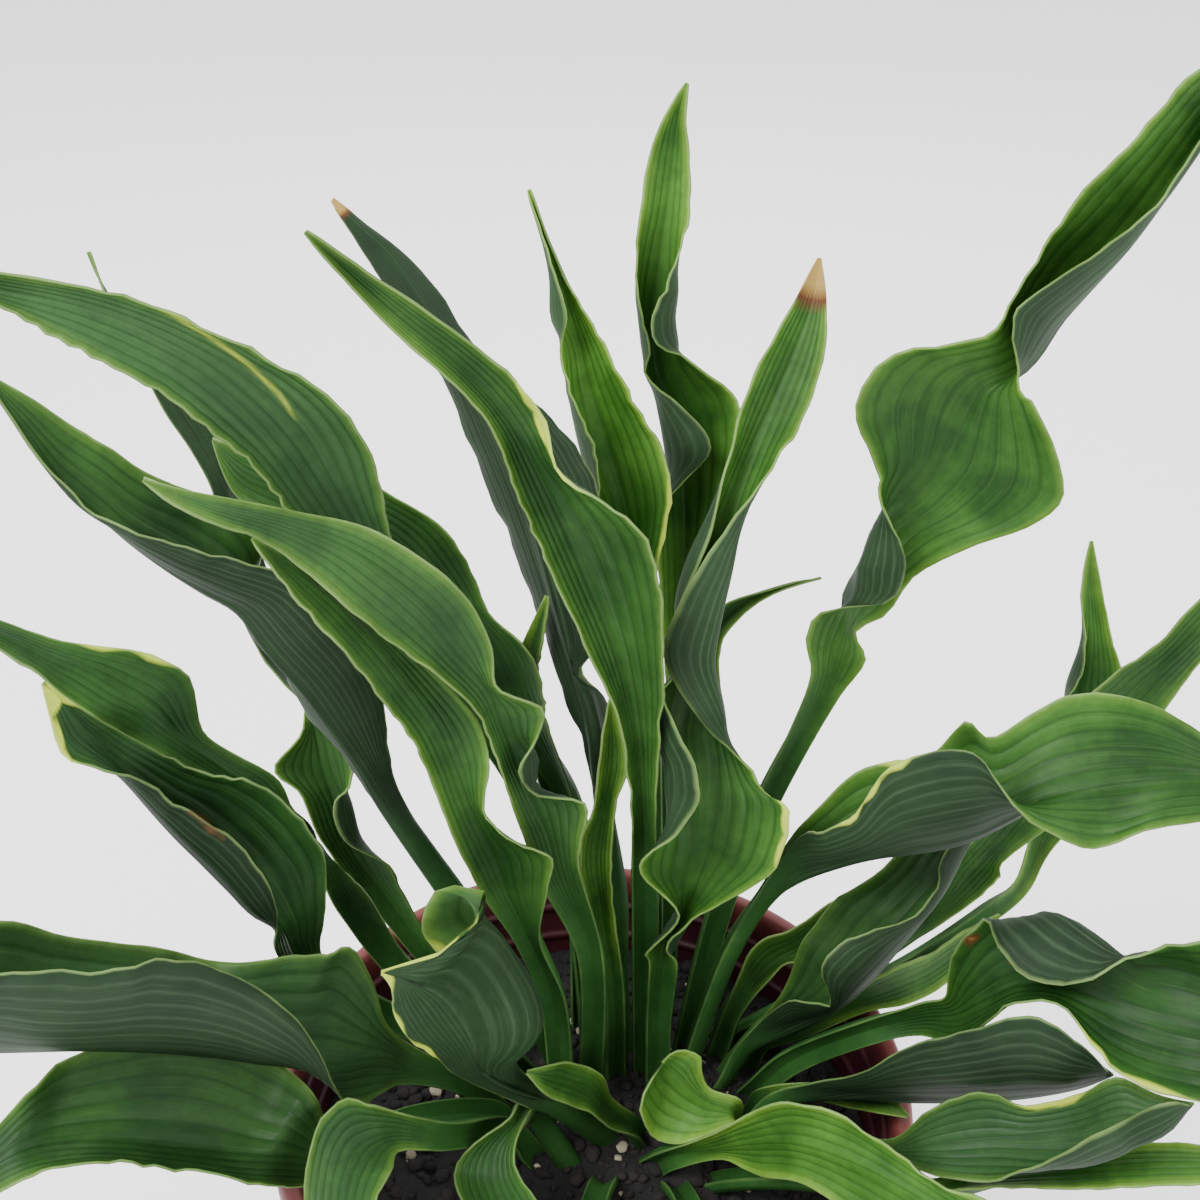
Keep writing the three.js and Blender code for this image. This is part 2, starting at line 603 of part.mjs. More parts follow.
      [[990, 738, 21], [1005, 818, 4], [988, 766, -5]],
      [[1030, 715, 21], [1040, 800, 3], [1015, 806, -8]],
      [[1065, 697, 21], [1080, 790, 2], [1052, 834, -10]],
      [[1110, 694, 20], [1125, 783, 1], [1095, 848, -12]],
      [[1160, 708, 18], [1175, 778, -1], [1150, 829, -12]],
      [[1205, 735, 14], [1215, 778, -2], [1200, 822, -10]],
      [[1250, 765, 6], [1255, 785, -3], [1250, 812, -8]],
    ],
    tip: [1300, 798, -6],
    bowLeft: [0.2],
    bowRight: [0.2, 0.25, 0.25, 0.25, 0.25, 0.25, 0.2, 0.15, 0.15, 0.15, 0.15, 0.1, 0.1],
  },
  W: {
    root: [45, 51],
    stalk: [[800, 1000, 38], [840, 975, 38], [880, 950, 48]],
    rows: [
      [[928, 908, 58], [945, 903, 60], [968, 905, 58]],
      [[945, 875, 64], [972, 872, 69], [998, 878, 63]],
      [[975, 838, 73], [995, 850, 77], [1003, 862, 73]],
      [[1010, 800, 78], [1025, 815, 81], [1043, 832, 77]],
      [[1060, 730, 84], [1080, 755, 87], [1105, 785, 81]],
      [[1120, 670, 90], [1142, 690, 93], [1163, 713, 88]],
      [[1158, 646, 94], [1175, 660, 97], [1192, 672, 92]],
      [[1200, 600, 99], [1212, 622, 101], [1225, 635, 97]],
    ],
    tip: [1262, 560, 106],
    bowLeft: [0.15],
    bowRight: [0.15],
  },
  U: {
    root: [57, 53],
    thin: true,
    stalk: [[800, 1018, 44], [860, 990, 32], [910, 965, 40], [985, 915, 64]],
    rows: [
      [[1017, 880, 82], [1023, 885, 83], [1030, 890, 82]],
      [[1030, 840, 94], [1038, 850, 97], [1048, 855, 95]],
      [[1045, 770, 109], [1065, 785, 114], [1095, 795, 109]],
      [[1066, 705, 124], [1085, 725, 130], [1118, 725, 126]],
      [[1083, 672, 132], [1092, 675, 138], [1121, 672, 135]],
      [[1086, 640, 140], [1094, 640, 144], [1112, 640, 142]],
      [[1082, 590, 149], [1091, 592, 151], [1102, 590, 150]],
    ],
    tip: [1092, 541, 158],
    bowLeft: [0.1, 0.1, 0.1, 0.4, 1.2, 0.9, 0.1],
    bowRight: [0.15],
  },
  Z: {
    root: [42, 24],
    stalk: [[745, 1045, 26]],
    rows: [
      [[775, 1003, 26], [798, 1022, 19], [790, 1000, 15]],
      [[790, 975, 28], [838, 1001, 15], [830, 1003, 7]],
      [[800, 945, 30], [862, 982, 14], [822, 965, 3]],
      [[815, 925, 32], [885, 958, 15], [845, 941, 4]],
      [[835, 900, 33], [908, 932, 17], [880, 928, 7]],
      [[855, 888, 33], [930, 905, 21], [915, 915, 13]],
      [[885, 868, 32], [948, 880, 25], [937, 885, 19]],
      [[905, 850, 32], [962, 855, 28], [941, 858, 23]],
    ],
    tip: [985, 815, 33],
    bowLeft: [0.2],
    bowRight: [0.2, 0.3, 0.4, 0.4, 0.3, 0.3, 0.3, 0.2],
  },
  Z2: {
    root: [44, 37],
    thin: true,
    stalk: [[735, 1005, 39]],
    rows: [
      [[757, 945, 45], [770, 963, 46], [788, 962, 43]],
      [[790, 932, 47], [800, 945, 48], [815, 962, 45]],
      [[815, 915, 49], [822, 925, 50], [828, 938, 47]],
      [[835, 902, 51], [840, 911, 52], [846, 920, 50]],
    ],
    tip: [860, 906, 54],
    bowLeft: [0.12],
    bowRight: [0.12],
  },
  AL: {
    root: [54, 33],
    thin: true,
    stalk: [[760, 1042, 33], [800, 1028, 27]],
    rows: [
      [[850, 993, 25], [858, 1003, 27], [868, 1012, 25]],
      [[893, 970, 27], [898, 988, 29], [905, 1005, 26]],
      [[930, 955, 33], [933, 972, 35], [938, 990, 32]],
      [[960, 935, 39], [962, 950, 40], [967, 965, 38]],
    ],
    tip: [1000, 915, 44],
    bowLeft: [0.12],
    bowRight: [0.12],
  },
  AA: {
    root: [52, 21],
    stalk: [[790, 1062, 13], [870, 1030, -1]],
    rows: [
      [[925, 1003, -8], [925, 1018, -8], [922, 1036, -10]],
      [[944, 998, -12], [955, 1015, -15], [952, 1045, -22]],
      [[948, 972, -14], [985, 1000, -22], [978, 1028, -32]],
      [[958, 946, -16], [1020, 985, -28], [1015, 1002, -40]],
      [[985, 921, -20], [1050, 985, -33], [1060, 1003, -46]],
      [[998, 948, -34], [1080, 992, -38], [1085, 1032, -52]],
      [[1030, 980, -44], [1115, 1002, -42], [1112, 1066, -60]],
      [[1082, 984, -46], [1150, 1012, -47], [1150, 1088, -66]],
      [[1120, 964, -46], [1190, 1022, -52], [1195, 1100, -70]],
      [[1165, 948, -46], [1230, 1030, -58], [1235, 1098, -74]],
      [[1215, 950, -52], [1262, 1038, -64], [1270, 1085, -76]],
    ],
    tip: [1310, 1070, -74],
    bowLeft: [0.1, 0.15, 0.2, 0.4, 0.7, 1.2, 1.2, 1, 0.8, 0.5, 0.2],
    bowRight: [0.1, 0.15, 0.2, 0.2, 0.2],
  },
  AB: {
    root: [47, 1],
    stalk: [[780, 1098, -4]],
    rows: [
      [[858, 1076, -8], [858, 1090, -18], [862, 1072, -24]],
      [[905, 1060, -6], [900, 1094, -22], [900, 1050, -30]],
      [[960, 1040, -8], [960, 1096, -28], [960, 1032, -38]],
      [[1030, 1028, -14], [1020, 1094, -34], [1030, 1016, -46]],
      [[1075, 1048, -24], [1070, 1087, -40], [1076, 1040, -50]],
    ],
    tip: [1112, 1074, -48],
    bowLeft: [0.2],
    bowRight: [0.2],
  },
  AC: {
    root: [45, -7],
    stalk: [[780, 1138, -14], [850, 1148, -26]],
    rows: [
      [[893, 1138, -30], [893, 1150, -34], [895, 1162, -38]],
      [[930, 1110, -38], [930, 1145, -42], [935, 1175, -52]],
      [[985, 1093, -40], [985, 1138, -46], [985, 1180, -60]],
      [[1023, 1106, -44], [1030, 1135, -50], [1030, 1168, -66]],
      [[1075, 1096, -48], [1075, 1128, -54], [1075, 1145, -68]],
      [[1118, 1078, -54], [1118, 1115, -60], [1120, 1122, -70]],
      [[1160, 1095, -58], [1165, 1115, -66], [1165, 1102, -72]],
    ],
    tip: [1192, 1104, -70],
    bowLeft: [0.2],
    bowRight: [0.1, 0.1, 0.2, 0.5, 0.9, 1.2, 0.8],
  },
  AI: {
    root: [36, -13],
    thin: true,
    stalk: [[800, 1178, -38], [860, 1186, -50], [920, 1192, -52]],
    rows: [
      [[1000, 1166, -46], [1000, 1177, -51], [1000, 1186, -56]],
      [[1080, 1150, -50], [1080, 1168, -56], [1080, 1188, -64]],
      [[1150, 1142, -56], [1155, 1162, -63], [1160, 1185, -70]],
      [[1210, 1146, -62], [1220, 1162, -69], [1220, 1182, -75]],
    ],
    tip: [1270, 1165, -78],
    bowLeft: [0.12],
    bowRight: [0.12],
  },
  AJ: {
    root: [54, 10],
    thin: true,
    stalk: [[760, 1101, 8]],
    rows: [
      [[800, 1083, 4], [803, 1091, 2], [806, 1099, -2]],
      [[845, 1086, -4], [848, 1096, -8], [850, 1108, -12]],
      [[885, 1093, -14], [885, 1102, -18], [885, 1114, -22]],
    ],
    tip: [908, 1116, -24],
    bowLeft: [0.12],
    bowRight: [0.12],
  },
};

// Cubic through the values at the knots, each slope weighed from its two neighbours
function smooth(values, knots, at) {
  const last = values.length - 1;
  let i = 0;
  while (i < last - 1 && at > knots[i + 1]) i += 1;
  const gap = (k) => knots[k + 1] - knots[k];
  const rise = (k) => (values[k + 1] - values[k]) / gap(k);
  const inner = (k) => (rise(k - 1) * gap(k) + rise(k) * gap(k - 1)) / (gap(k) + gap(k - 1));
  const slope = (k) => {
    if (k === 0) return 1.5 * rise(0) - 0.5 * inner(1);
    if (k === last) return 1.5 * rise(last - 1) - 0.5 * inner(last - 1);
    return inner(k);
  };
  const width = gap(i);
  const t = (at - knots[i]) / width;
  const near = (2 * t ** 3 - 3 * t ** 2 + 1) * values[i] + (t ** 3 - 2 * t ** 2 + t) * width * slope(i);
  const far = (3 * t ** 2 - 2 * t ** 3) * values[i + 1] + (t ** 3 - t ** 2) * width * slope(i + 1);
  return near + far;
}

function smoothPoint(points, knots, at) {
  const along = (axis) => smooth(points.map((p) => p[axis]), knots, at);
  return new THREE.Vector3(along("x"), along("y"), along("z"));
}

// A list of any length read evenly over a number of rows
function spread(list, count) {
  return Array.from({ length: count }, (_, k) => {
    const place = (k / Math.max(count - 1, 1)) * (list.length - 1);
    const low = Math.min(Math.floor(place), Math.max(list.length - 2, 0));
    const high = Math.min(low + 1, list.length - 1);
    return list[low] + (list[high] - list[low]) * (place - low);
  });
}

// The straight foot of a stalk: its end in the crown and the collar above it
function footing(leaf) {
  const next = sight(leaf.stalk[0]);
  const rise = collarHeight - footHeight;
  const foot = new THREE.Vector3(leaf.root[0], leaf.root[1], footHeight);
  const lean = new THREE.Vector2(next.x - foot.x, next.y - foot.y);
  const slant = Math.min(lean.length() / (next.z - foot.z), steepestLean);
  lean.setLength(slant * rise);
  return [foot, new THREE.Vector3(foot.x + lean.x, foot.y + lean.y, collarHeight)];
}

// Three curves from foot to tip: left margin, midrib and right margin
function leafCurves(leaf) {
  const stalk = [...footing(leaf), ...leaf.stalk.map(sight)];
  const rows = leaf.rows.map((row) => row.map(sight));
  const tip = sight(leaf.tip);
  const rib = [...stalk, ...rows.map((row) => row[1]), tip];
  const across = new THREE.Vector3().subVectors(rows[0][2], rows[0][0]).normalize();
  const halfWidth = leaf.thin ? thinStalkHalf : stalkHalf;

  const pair = (k, half, lift) => {
    const before = rib[Math.max(k - 1, 0)];
    const after = rib[Math.min(k + 1, rib.length - 1)];
    const along = new THREE.Vector3().subVectors(after, before).normalize();
    const side = across.clone().addScaledVector(along, -across.dot(along)).normalize();
    const up = new THREE.Vector3().crossVectors(side, along).multiplyScalar(lift);
    const left = rib[k].clone().addScaledVector(side, -half).add(up);
    const right = rib[k].clone().addScaledVector(side, half).add(up);
    return [left, right];
  };

  const stalkPairs = stalk.map((_, k) => pair(k, halfWidth, stalkLift));
  const tipPair = pair(rib.length - 1, tipHalf, 0);
  const left = [...stalkPairs.map((p) => p[0]), ...rows.map((row) => row[0]), tipPair[0]];
  const right = [...stalkPairs.map((p) => p[1]), ...rows.map((row) => row[2]), tipPair[1]];

  const knots = [0];
  for (let k = 1; k < rib.length; k += 1) {
    knots.push(knots[k - 1] + Math.sqrt(rib[k].distanceTo(rib[k - 1])));
  }
  const bow = (list) => [...stalk.map(() => stalkBow), ...spread(list, rows.length), tipBow];
  return { left, rib, right, knots, stalkCount: stalk.length,
    bowLeft: bow(leaf.bowLeft), bowRight: bow(leaf.bowRight) };
}

// Places along the leaf where a section is cut: every row, and between far ones
function stations(curves) {
  const list = [];
  for (let k = 0; k < curves.rib.length - 1; k += 1) {
    const steps = Math.ceil(curves.rib[k].distanceTo(curves.rib[k + 1]) / longestStep);
    for (let i = 0; i < steps; i += 1) {
      list.push(curves.knots[k] + ((curves.knots[k + 1] - curves.knots[k]) * i) / steps);
    }
  }
  list.push(curves.knots[curves.knots.length - 1]);
  return list;
}

// One section: points of the upper face from left to right, with their normals
function section(curves, at) {
  const { knots } = curves;
  const step = knots[knots.length - 1] / 1000;
  const rib = smoothPoint(curves.rib, knots, at);
  const before = smoothPoint(curves.rib, knots, Math.max(at - step, 0));
  const after = smoothPoint(curves.rib, knots, Math.min(at + step, knots[knots.length - 1]));
  const along = after.sub(before).normalize();

  const half = (margin, bowList, sign) => {
    const edge = smoothPoint(margin, knots, at);
    const arm = edge.clone().sub(rib);
    const up = new THREE.Vector3().crossVectors(arm, along).multiplyScalar(sign).normalize();
    const belly = smooth(bowList, knots, at) * arm.length();
    const control = rib.clone().addScaledVector(arm, 0.5).addScaledVector(up, -belly);
    const start = control.clone().sub(rib).multiplyScalar(sign);
    const finish = edge.clone().sub(control).multiplyScalar(sign);
    const middle = rib.clone().multiplyScalar(0.25).addScaledVector(control, 0.5).addScaledVector(edge, 0.25);
    return { edge, middle, start, finish, chord: arm.clone().multiplyScalar(sign) };
  };

  const left = half(curves.left, curves.bowLeft, -1);
  const right = half(curves.right, curves.bowRight, 1);
  const facing = (direction) => new THREE.Vector3().crossVectors(direction, along).normalize();
  const points = [left.edge, left.middle, rib, right.middle, right.edge];
  const normals = [
    facing(left.finish),
    facing(left.chord),
    facing(left.start).add(facing(right.start)).normalize(),
    facing(right.chord),
    facing(right.finish),
  ];
  return { points, normals };
}

// A closed leaf: an upper face, a lower face set off by the thickness, two margins, two ends
function leafGeometry(leaf) {
  const curves = leafCurves(leaf);
  const places = stations(curves);
  const bladeStart = curves.knots[curves.stalkCount - 1];
  const total = places[places.length - 1];
  const positions = [];
  const across = 5;

  places.forEach((at) => {
    const { points, normals } = section(curves, at);
    const grown = THREE.MathUtils.clamp((at - bladeStart) / (total - bladeStart), 0, 1);
    const rib = ribThickness * (1 - grown) ** ribTaper;
    points.forEach((p) => positions.push(p.x, p.y, p.z));
    points.forEach((p, j) => {
      const nearRib = [0, besideRib, 1, besideRib, 0][j];
      const low = p.clone().addScaledVector(normals[j], -(marginThickness + rib * nearRib));
      positions.push(low.x, low.y, low.z);
    });
  });

  const upper = (i, j) => i * 2 * across + j;
  const lower = (i, j) => i * 2 * across + across + j;
  const faces = [];
  const last = places.length - 1;
  for (let i = 0; i < last; i += 1) {
    for (let j = 0; j < across - 1; j += 1) {
      faces.push(upper(i, j), upper(i, j + 1), upper(i + 1, j + 1));
      faces.push(upper(i, j), upper(i + 1, j + 1), upper(i + 1, j));
      faces.push(lower(i, j), lower(i + 1, j + 1), lower(i, j + 1));
      faces.push(lower(i, j), lower(i + 1, j), lower(i + 1, j + 1));
    }
    const end = across - 1;
    faces.push(upper(i, 0), upper(i + 1, 0), lower(i + 1, 0));
    faces.push(upper(i, 0), lower(i + 1, 0), lower(i, 0));
    faces.push(upper(i, end), lower(i + 1, end), upper(i + 1, end));
    faces.push(upper(i, end), lower(i, end), lower(i + 1, end));
  }
  for (let j = 0; j < across - 1; j += 1) {
    faces.push(upper(0, j), lower(0, j), lower(0, j + 1));
    faces.push(upper(0, j), lower(0, j + 1), upper(0, j + 1));
    faces.push(upper(last, j), lower(last, j + 1), lower(last, j));
    faces.push(upper(last, j), upper(last, j + 1), lower(last, j + 1));
  }
  const geometry = new THREE.BufferGeometry();
  geometry.setAttribute("position", new THREE.Float32BufferAttribute(positions, 3));
  geometry.setIndex(faces);
  return geometry;
}

const wasm = await Module();
wasm.setup();

function toSolid(geometry) {
  const bare = geometry.clone();
  bare.deleteAttribute("normal");
  bare.deleteAttribute("uv");
  const merged = mergeVertices(bare, 1e-4);
  return new wasm.Manifold(new wasm.Mesh({
    numProp: 3,
    vertProperties: new Float32Array(merged.attributes.position.array),
    triVerts: new Uint32Array(merged.index.array),
  }));
}

function toGeometry(solid) {
  const mesh = solid.getMesh();
  const geometry = new THREE.BufferGeometry();
  geometry.setAttribute("position", new THREE.BufferAttribute(mesh.vertProperties, 3));
  geometry.setIndex(new THREE.BufferAttribute(mesh.triVerts, 1));
  return geometry;
}

// A turned body from [radius, height] points, listed up the outside and back to the axis
function turned(profile, sides) {
  const geometry = new THREE.LatheGeometry(profile.map(([r, z]) => new THREE.Vector2(r, z)), sides);
  return geometry.rotateX(Math.PI / 2);
}

function upright(radius, low, high, x, y, sides) {
  const geometry = new THREE.CylinderGeometry(radius, radius, high - low, sides);
  return geometry.rotateX(Math.PI / 2).translate(x, y, (low + high) / 2);
}

// Radius of the pot's inner wall at a height
function innerRadius(z) {
  const top = rimRadius - lipOverhang;
  const low = footRadius - wall;
  return low + ((top - wall + 1 - low) * z) / potHeight;
}

function potGeometry() {
  const outer = (z) => innerRadius(z) + wall;
  const bandFoot = potHeight - rimBand;
  const rings = ringDepths.map((depth) => potHeight - depth).flatMap((z) => [
    [innerRadius(z + ringHeight / 2), z + ringHeight / 2],
    [innerRadius(z) - ringReach, z + ringHeight / 4],
    [innerRadius(z) - ringReach, z - ringHeight / 4],
    [innerRadius(z - ringHeight / 2), z - ringHeight / 2],
  ]);
  const body = toSolid(turned([
    [0, 0],
    [footRadius - footChamfer, 0],
    [footRadius, footChamfer],
    [outer(bandFoot), bandFoot],
    [rimRadius - bandStep, bandFoot + bandStep],
    [rimRadius, bandFoot + lipRounding],
    [rimRadius, potHeight - lipRounding],
    [rimRadius - lipRounding * 0.4, potHeight - lipRounding * 0.27],
    [rimRadius - lipRounding, potHeight],
    [innerRadius(potHeight) + lipRounding * 0.27, potHeight - lipRounding * 0.2],
    [innerRadius(potHeight - lipRounding), potHeight - lipRounding],
    ...rings,
    [innerRadius(floorThickness), floorThickness],
    [0, floorThickness],
  ], potSides));
  let pot = body;
  for (let k = 0; k < drainCount; k += 1) {
    const turn = (k / drainCount) * 2 * Math.PI;
    const x = drainPlace * Math.cos(turn);
    const y = drainPlace * Math.sin(turn);
    pot = pot.subtract(toSolid(upright(drainRadius, -openEnd, floorThickness + openEnd, x, y, drainSides)));
  }
  return toGeometry(pot);
}

const soilTop = potHeight - soilDepth;
const crownBottom = soilTop - crownDepth;

function soilGeometry() {
  const low = floorThickness + clearance;
  const bed = toSolid(turned([
    [0, low],
    [innerRadius(low) - clearance, low],
    [innerRadius(soilTop) - clearance, soilTop],
    [0, soilTop],
  ], potSides));
  const pocket = upright(crownRadius + clearance, crownBottom - clearance, soilTop + openEnd,
    crownCentre[0], crownCentre[1], crownSides);
  return toGeometry(bed.subtract(toSolid(pocket)));
}

// The crown is a low mound with one plain hole for the foot of each stalk
function crownGeometry() {
  const mound = turned([
    [0, crownBottom],
    [crownRadius, crownBottom],
    [crownRadius, soilTop - 0.5],
    [crownRadius * 0.9, soilTop + crownRise * 0.5],
    [crownRadius * 0.6, soilTop + crownRise * 0.9],
    [0, soilTop + crownRise],
  ], crownSides).translate(crownCentre[0], crownCentre[1], 0);
  let crown = toSolid(mound);
  Object.values(leaves).forEach((leaf) => {
    const [foot, collar] = footing(leaf);
    const along = collar.clone().sub(foot).normalize();
    const bottom = foot.clone().addScaledVector(along, -clearance - 0.1);
    const top = foot.clone().addScaledVector(along, collarHeight - footHeight + 8);
    const radius = leaf.thin ? thinHoleRadius : holeRadius;
    const hole = new THREE.CylinderGeometry(radius, radius, bottom.distanceTo(top), holeSides);
    hole.applyQuaternion(new THREE.Quaternion().setFromUnitVectors(new THREE.Vector3(0, 1, 0), along));
    const middle = bottom.clone().add(top).multiplyScalar(0.5);
    hole.translate(middle.x, middle.y, middle.z);
    crown = crown.subtract(toSolid(hole));
  });
  return toGeometry(crown);
}

function material(color, roughness) {
  return new THREE.MeshStandardMaterial({ color, roughness, metalness: 0 });
}

const potPlastic = material(0x4f2128, 0.5);
const soilBrown = material(0x2a211b, 0.95);
const crownGreen = material(0x4c5a33, 0.8);
const leafGreen = material(0x35602c, 0.55);

const hosta = new THREE.Group();

function place(name, geometry, look) {
  const mesh = new THREE.Mesh(geometry, look);
  mesh.name = name;
  hosta.add(mesh);
}

place("pot", potGeometry(), potPlastic);
place("soil", soilGeometry(), soilBrown);
place("crown", crownGeometry(), crownGreen);
Object.entries(leaves).forEach(([name, leaf]) => place(`leaf_${name}`, leafGeometry(leaf), leafGreen));

export default hosta;
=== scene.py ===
# %% [markdown]
# A hosta in a round nursery pot. The packed solids are loaded as a fixed frame in
# metres, and every piece made here stands where its solid stands. First come the
# points of the leaves and small tools for curves, meshes and node trees, then the
# leaves, the pot and the soil, and last the floor, the lights and the camera.

# %% Load the frame
import math
import bmesh
import bpy
import numpy as np
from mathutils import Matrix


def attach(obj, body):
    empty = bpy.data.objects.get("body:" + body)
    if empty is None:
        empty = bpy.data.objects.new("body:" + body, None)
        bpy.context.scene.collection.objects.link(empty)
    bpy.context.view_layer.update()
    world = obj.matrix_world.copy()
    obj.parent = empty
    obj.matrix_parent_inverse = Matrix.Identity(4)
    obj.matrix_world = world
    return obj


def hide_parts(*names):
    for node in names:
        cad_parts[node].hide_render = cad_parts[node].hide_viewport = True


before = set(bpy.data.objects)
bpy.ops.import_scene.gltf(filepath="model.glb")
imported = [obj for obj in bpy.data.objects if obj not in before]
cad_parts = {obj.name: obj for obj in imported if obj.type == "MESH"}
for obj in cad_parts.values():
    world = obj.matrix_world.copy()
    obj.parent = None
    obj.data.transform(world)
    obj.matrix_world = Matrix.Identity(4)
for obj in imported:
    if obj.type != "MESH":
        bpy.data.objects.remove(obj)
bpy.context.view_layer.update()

print("solids in the frame:", len(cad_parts))

# %% [markdown]
# A grown plant has no drawing, so its leaves are described the way a botanical artist
# sees them: from one viewpoint. A point of a leaf is (column, row, depth): where it
# shows in a square picture of 1200 units, and how many millimetres behind the middle
# of the pot it lies. The viewpoint below turns it into metres, so the same plant can
# be looked at from any side.

# %% The viewpoint
PICTURE_SIDE = 1200
PICTURE_MIDDLE = PICTURE_SIDE / 2
PICTURE_REACH = 1500
EYE = np.array([0.0027, -0.358, 0.612])
EYE_TILT = math.radians(31.4)
MILLIMETRE = 0.001
print("the eye is", round(float(np.linalg.norm(EYE)), 3), "m from the middle of the pot's foot")


# %% From the picture to metres
def sight(points):
    """Where the sight line through (column, row) meets the upright plane at depth:
    the line's direction is the viewing direction plus the offsets across and down."""
    points = np.asarray(points, float)
    across = (points[..., 0] - PICTURE_MIDDLE) / PICTURE_REACH
    down = (points[..., 1] - PICTURE_MIDDLE) / PICTURE_REACH
    back = math.cos(EYE_TILT) - down * math.sin(EYE_TILT)
    fall = -math.sin(EYE_TILT) - down * math.cos(EYE_TILT)
    depth = points[..., 2] * MILLIMETRE
    reach = (depth - EYE[1]) / back
    return np.stack([EYE[0] + across * reach, depth, EYE[2] + fall * reach], axis=-1)


print("the middle of the picture lies at", sight([PICTURE_MIDDLE, PICTURE_MIDDLE, 0]).round(3))


# %% From metres to the picture
def picture(points):
    """The column and row at which points show: sight() turned round."""
    offset = points - EYE
    forward = offset[..., 1] * math.cos(EYE_TILT) - offset[..., 2] * math.sin(EYE_TILT)
    upward = offset[..., 1] * math.sin(EYE_TILT) + offset[..., 2] * math.cos(EYE_TILT)
    column = PICTURE_MIDDLE + PICTURE_REACH * offset[..., 0] / forward
    row = PICTURE_MIDDLE - PICTURE_REACH * upward / forward
    return np.stack([column, row], axis=-1)


print("the middle of the pot's foot shows at", picture(np.zeros(3)).round())

# %% [markdown]
# A leaf is the root of its stalk in the crown in millimetres, the middle line of the
# stalk, and three lines along the blade, matched point by point: left margin, midrib
# and right margin, and then the tip. The bows say how deep each half is dished, from
# 0 for flat to 1 and more for a fold, and are spread evenly over those points. Light
# is painted light and shade, from a leaf in shade at 0 to one that catches the light
# at 1, and bloom is a tone note for the finish. Yellow, dry and streak are places in the
# picture with a colour of their own. The points are few and a smooth curve joins
# them, so a leaf is changed by moving a few. Each cell describes one group of leaves.

# %% Tall leaves of the middle
LEAVES = {}

LEAVES["M"] = dict(
    root=(20, 28), light=0.3, bloom=0.15,
    stalk=[(645, 960, 27), (645, 880, 22)],
    left=[(632, 800, 11), (618, 715, 5), (590, 655, 0), (560, 590, -2), (538, 540, -4), (520, 500, -5),
        (508, 465, -6), (497, 438, -7), (480, 410, -8), (441, 372, -8), (400, 337, -4), (350, 284, 0)],
    rib=[(642, 800, 17), (630, 715, 12), (612, 645, 7), (588, 585, 5), (566, 535, 3), (548, 495, 1),
        (532, 462, 0), (516, 432, -2), (492, 400, -4), (455, 362, -5), (408, 325, -2), (352, 276, 2)],
    right=[(655, 800, 11), (661, 705, 0), (662, 640, -8), (657, 580, -12), (640, 533, -12), (600, 503, -13),
        (556, 472, -12), (545, 425, -6), (520, 388, -9), (480, 352, -9), (428, 314, -6), (362, 270, -1)],
    tip=(305, 232, 2),
    bow_left=[0.1, 0.1, 0.15, 0.2],
    bow_right=[0.1, 0.2, 0.2, 0.1],
    yellow=[(548, 428, 26, 1), (528, 400, 16, 0.7), (565, 480, 14, 0.6)],
)
LEAVES["N"] = dict(
    root=(12, 40), light=0.2, bloom=0.3,
    stalk=[(616, 980, 38), (615, 900, 37)],
    left=[(608, 800, 36), (606, 740, 38), (605, 700, 36), (582, 670, 28), (600, 640, 36), (598, 560, 42),
        (600, 500, 45), (575, 450, 46), (530, 400, 47), (470, 345, 47), (437, 292, 48), (402, 254, 48),
        (365, 226, 48)],
    rib=[(603, 800, 32), (596, 740, 31), (588, 700, 30), (578, 665, 30), (568, 630, 30), (548, 560, 32),
        (530, 500, 34), (505, 440, 36), (478, 385, 38), (445, 335, 40), (415, 290, 42), (388, 252, 45),
        (358, 225, 46)],
    right=[(596, 800, 35), (584, 740, 36), (567, 700, 37), (556, 665, 38), (543, 625, 40), (520, 560, 43),
        (497, 505, 45), (470, 440, 46), (443, 375, 46), (412, 330, 46), (388, 287, 46), (366, 254, 47),
        (348, 226, 47)],
    tip=(332, 200, 48),
    bow_left=[0.12],
    bow_right=[0.12],
    dry=[(334, 202, 16, 1)],
)
LEAVES["O"] = dict(
    root=(22, 47), light=0.9,
    stalk=[(650, 900, 50), (648, 760, 58)],
    left=[(640, 680, 60), (625, 620, 60), (608, 560, 61), (600, 505, 61), (596, 450, 62), (572, 395, 66),
        (562, 352, 72), (567, 318, 70), (556, 275, 74), (541, 228, 80)],
    rib=[(647, 680, 64), (640, 615, 67), (632, 560, 70), (626, 510, 73), (612, 455, 75), (590, 385, 78),
        (580, 345, 80), (570, 310, 82), (555, 262, 82), (540, 225, 84)],
    right=[(654, 680, 60), (655, 610, 60), (657, 560, 60), (670, 500, 61), (660, 448, 64), (628, 395, 68),
        (605, 348, 73), (585, 315, 76), (562, 275, 79), (545, 235, 82)],
    tip=(529, 190, 84),
    bow_left=[0.1, 0.1, 0.1, 0.3, 0.8, 0.5, 0.3, 0.8, 0.4, 0.1],
    bow_right=[0.1],
    yellow=[(662, 500, 26, 0.5), (664, 536, 16, 0.5)],
)
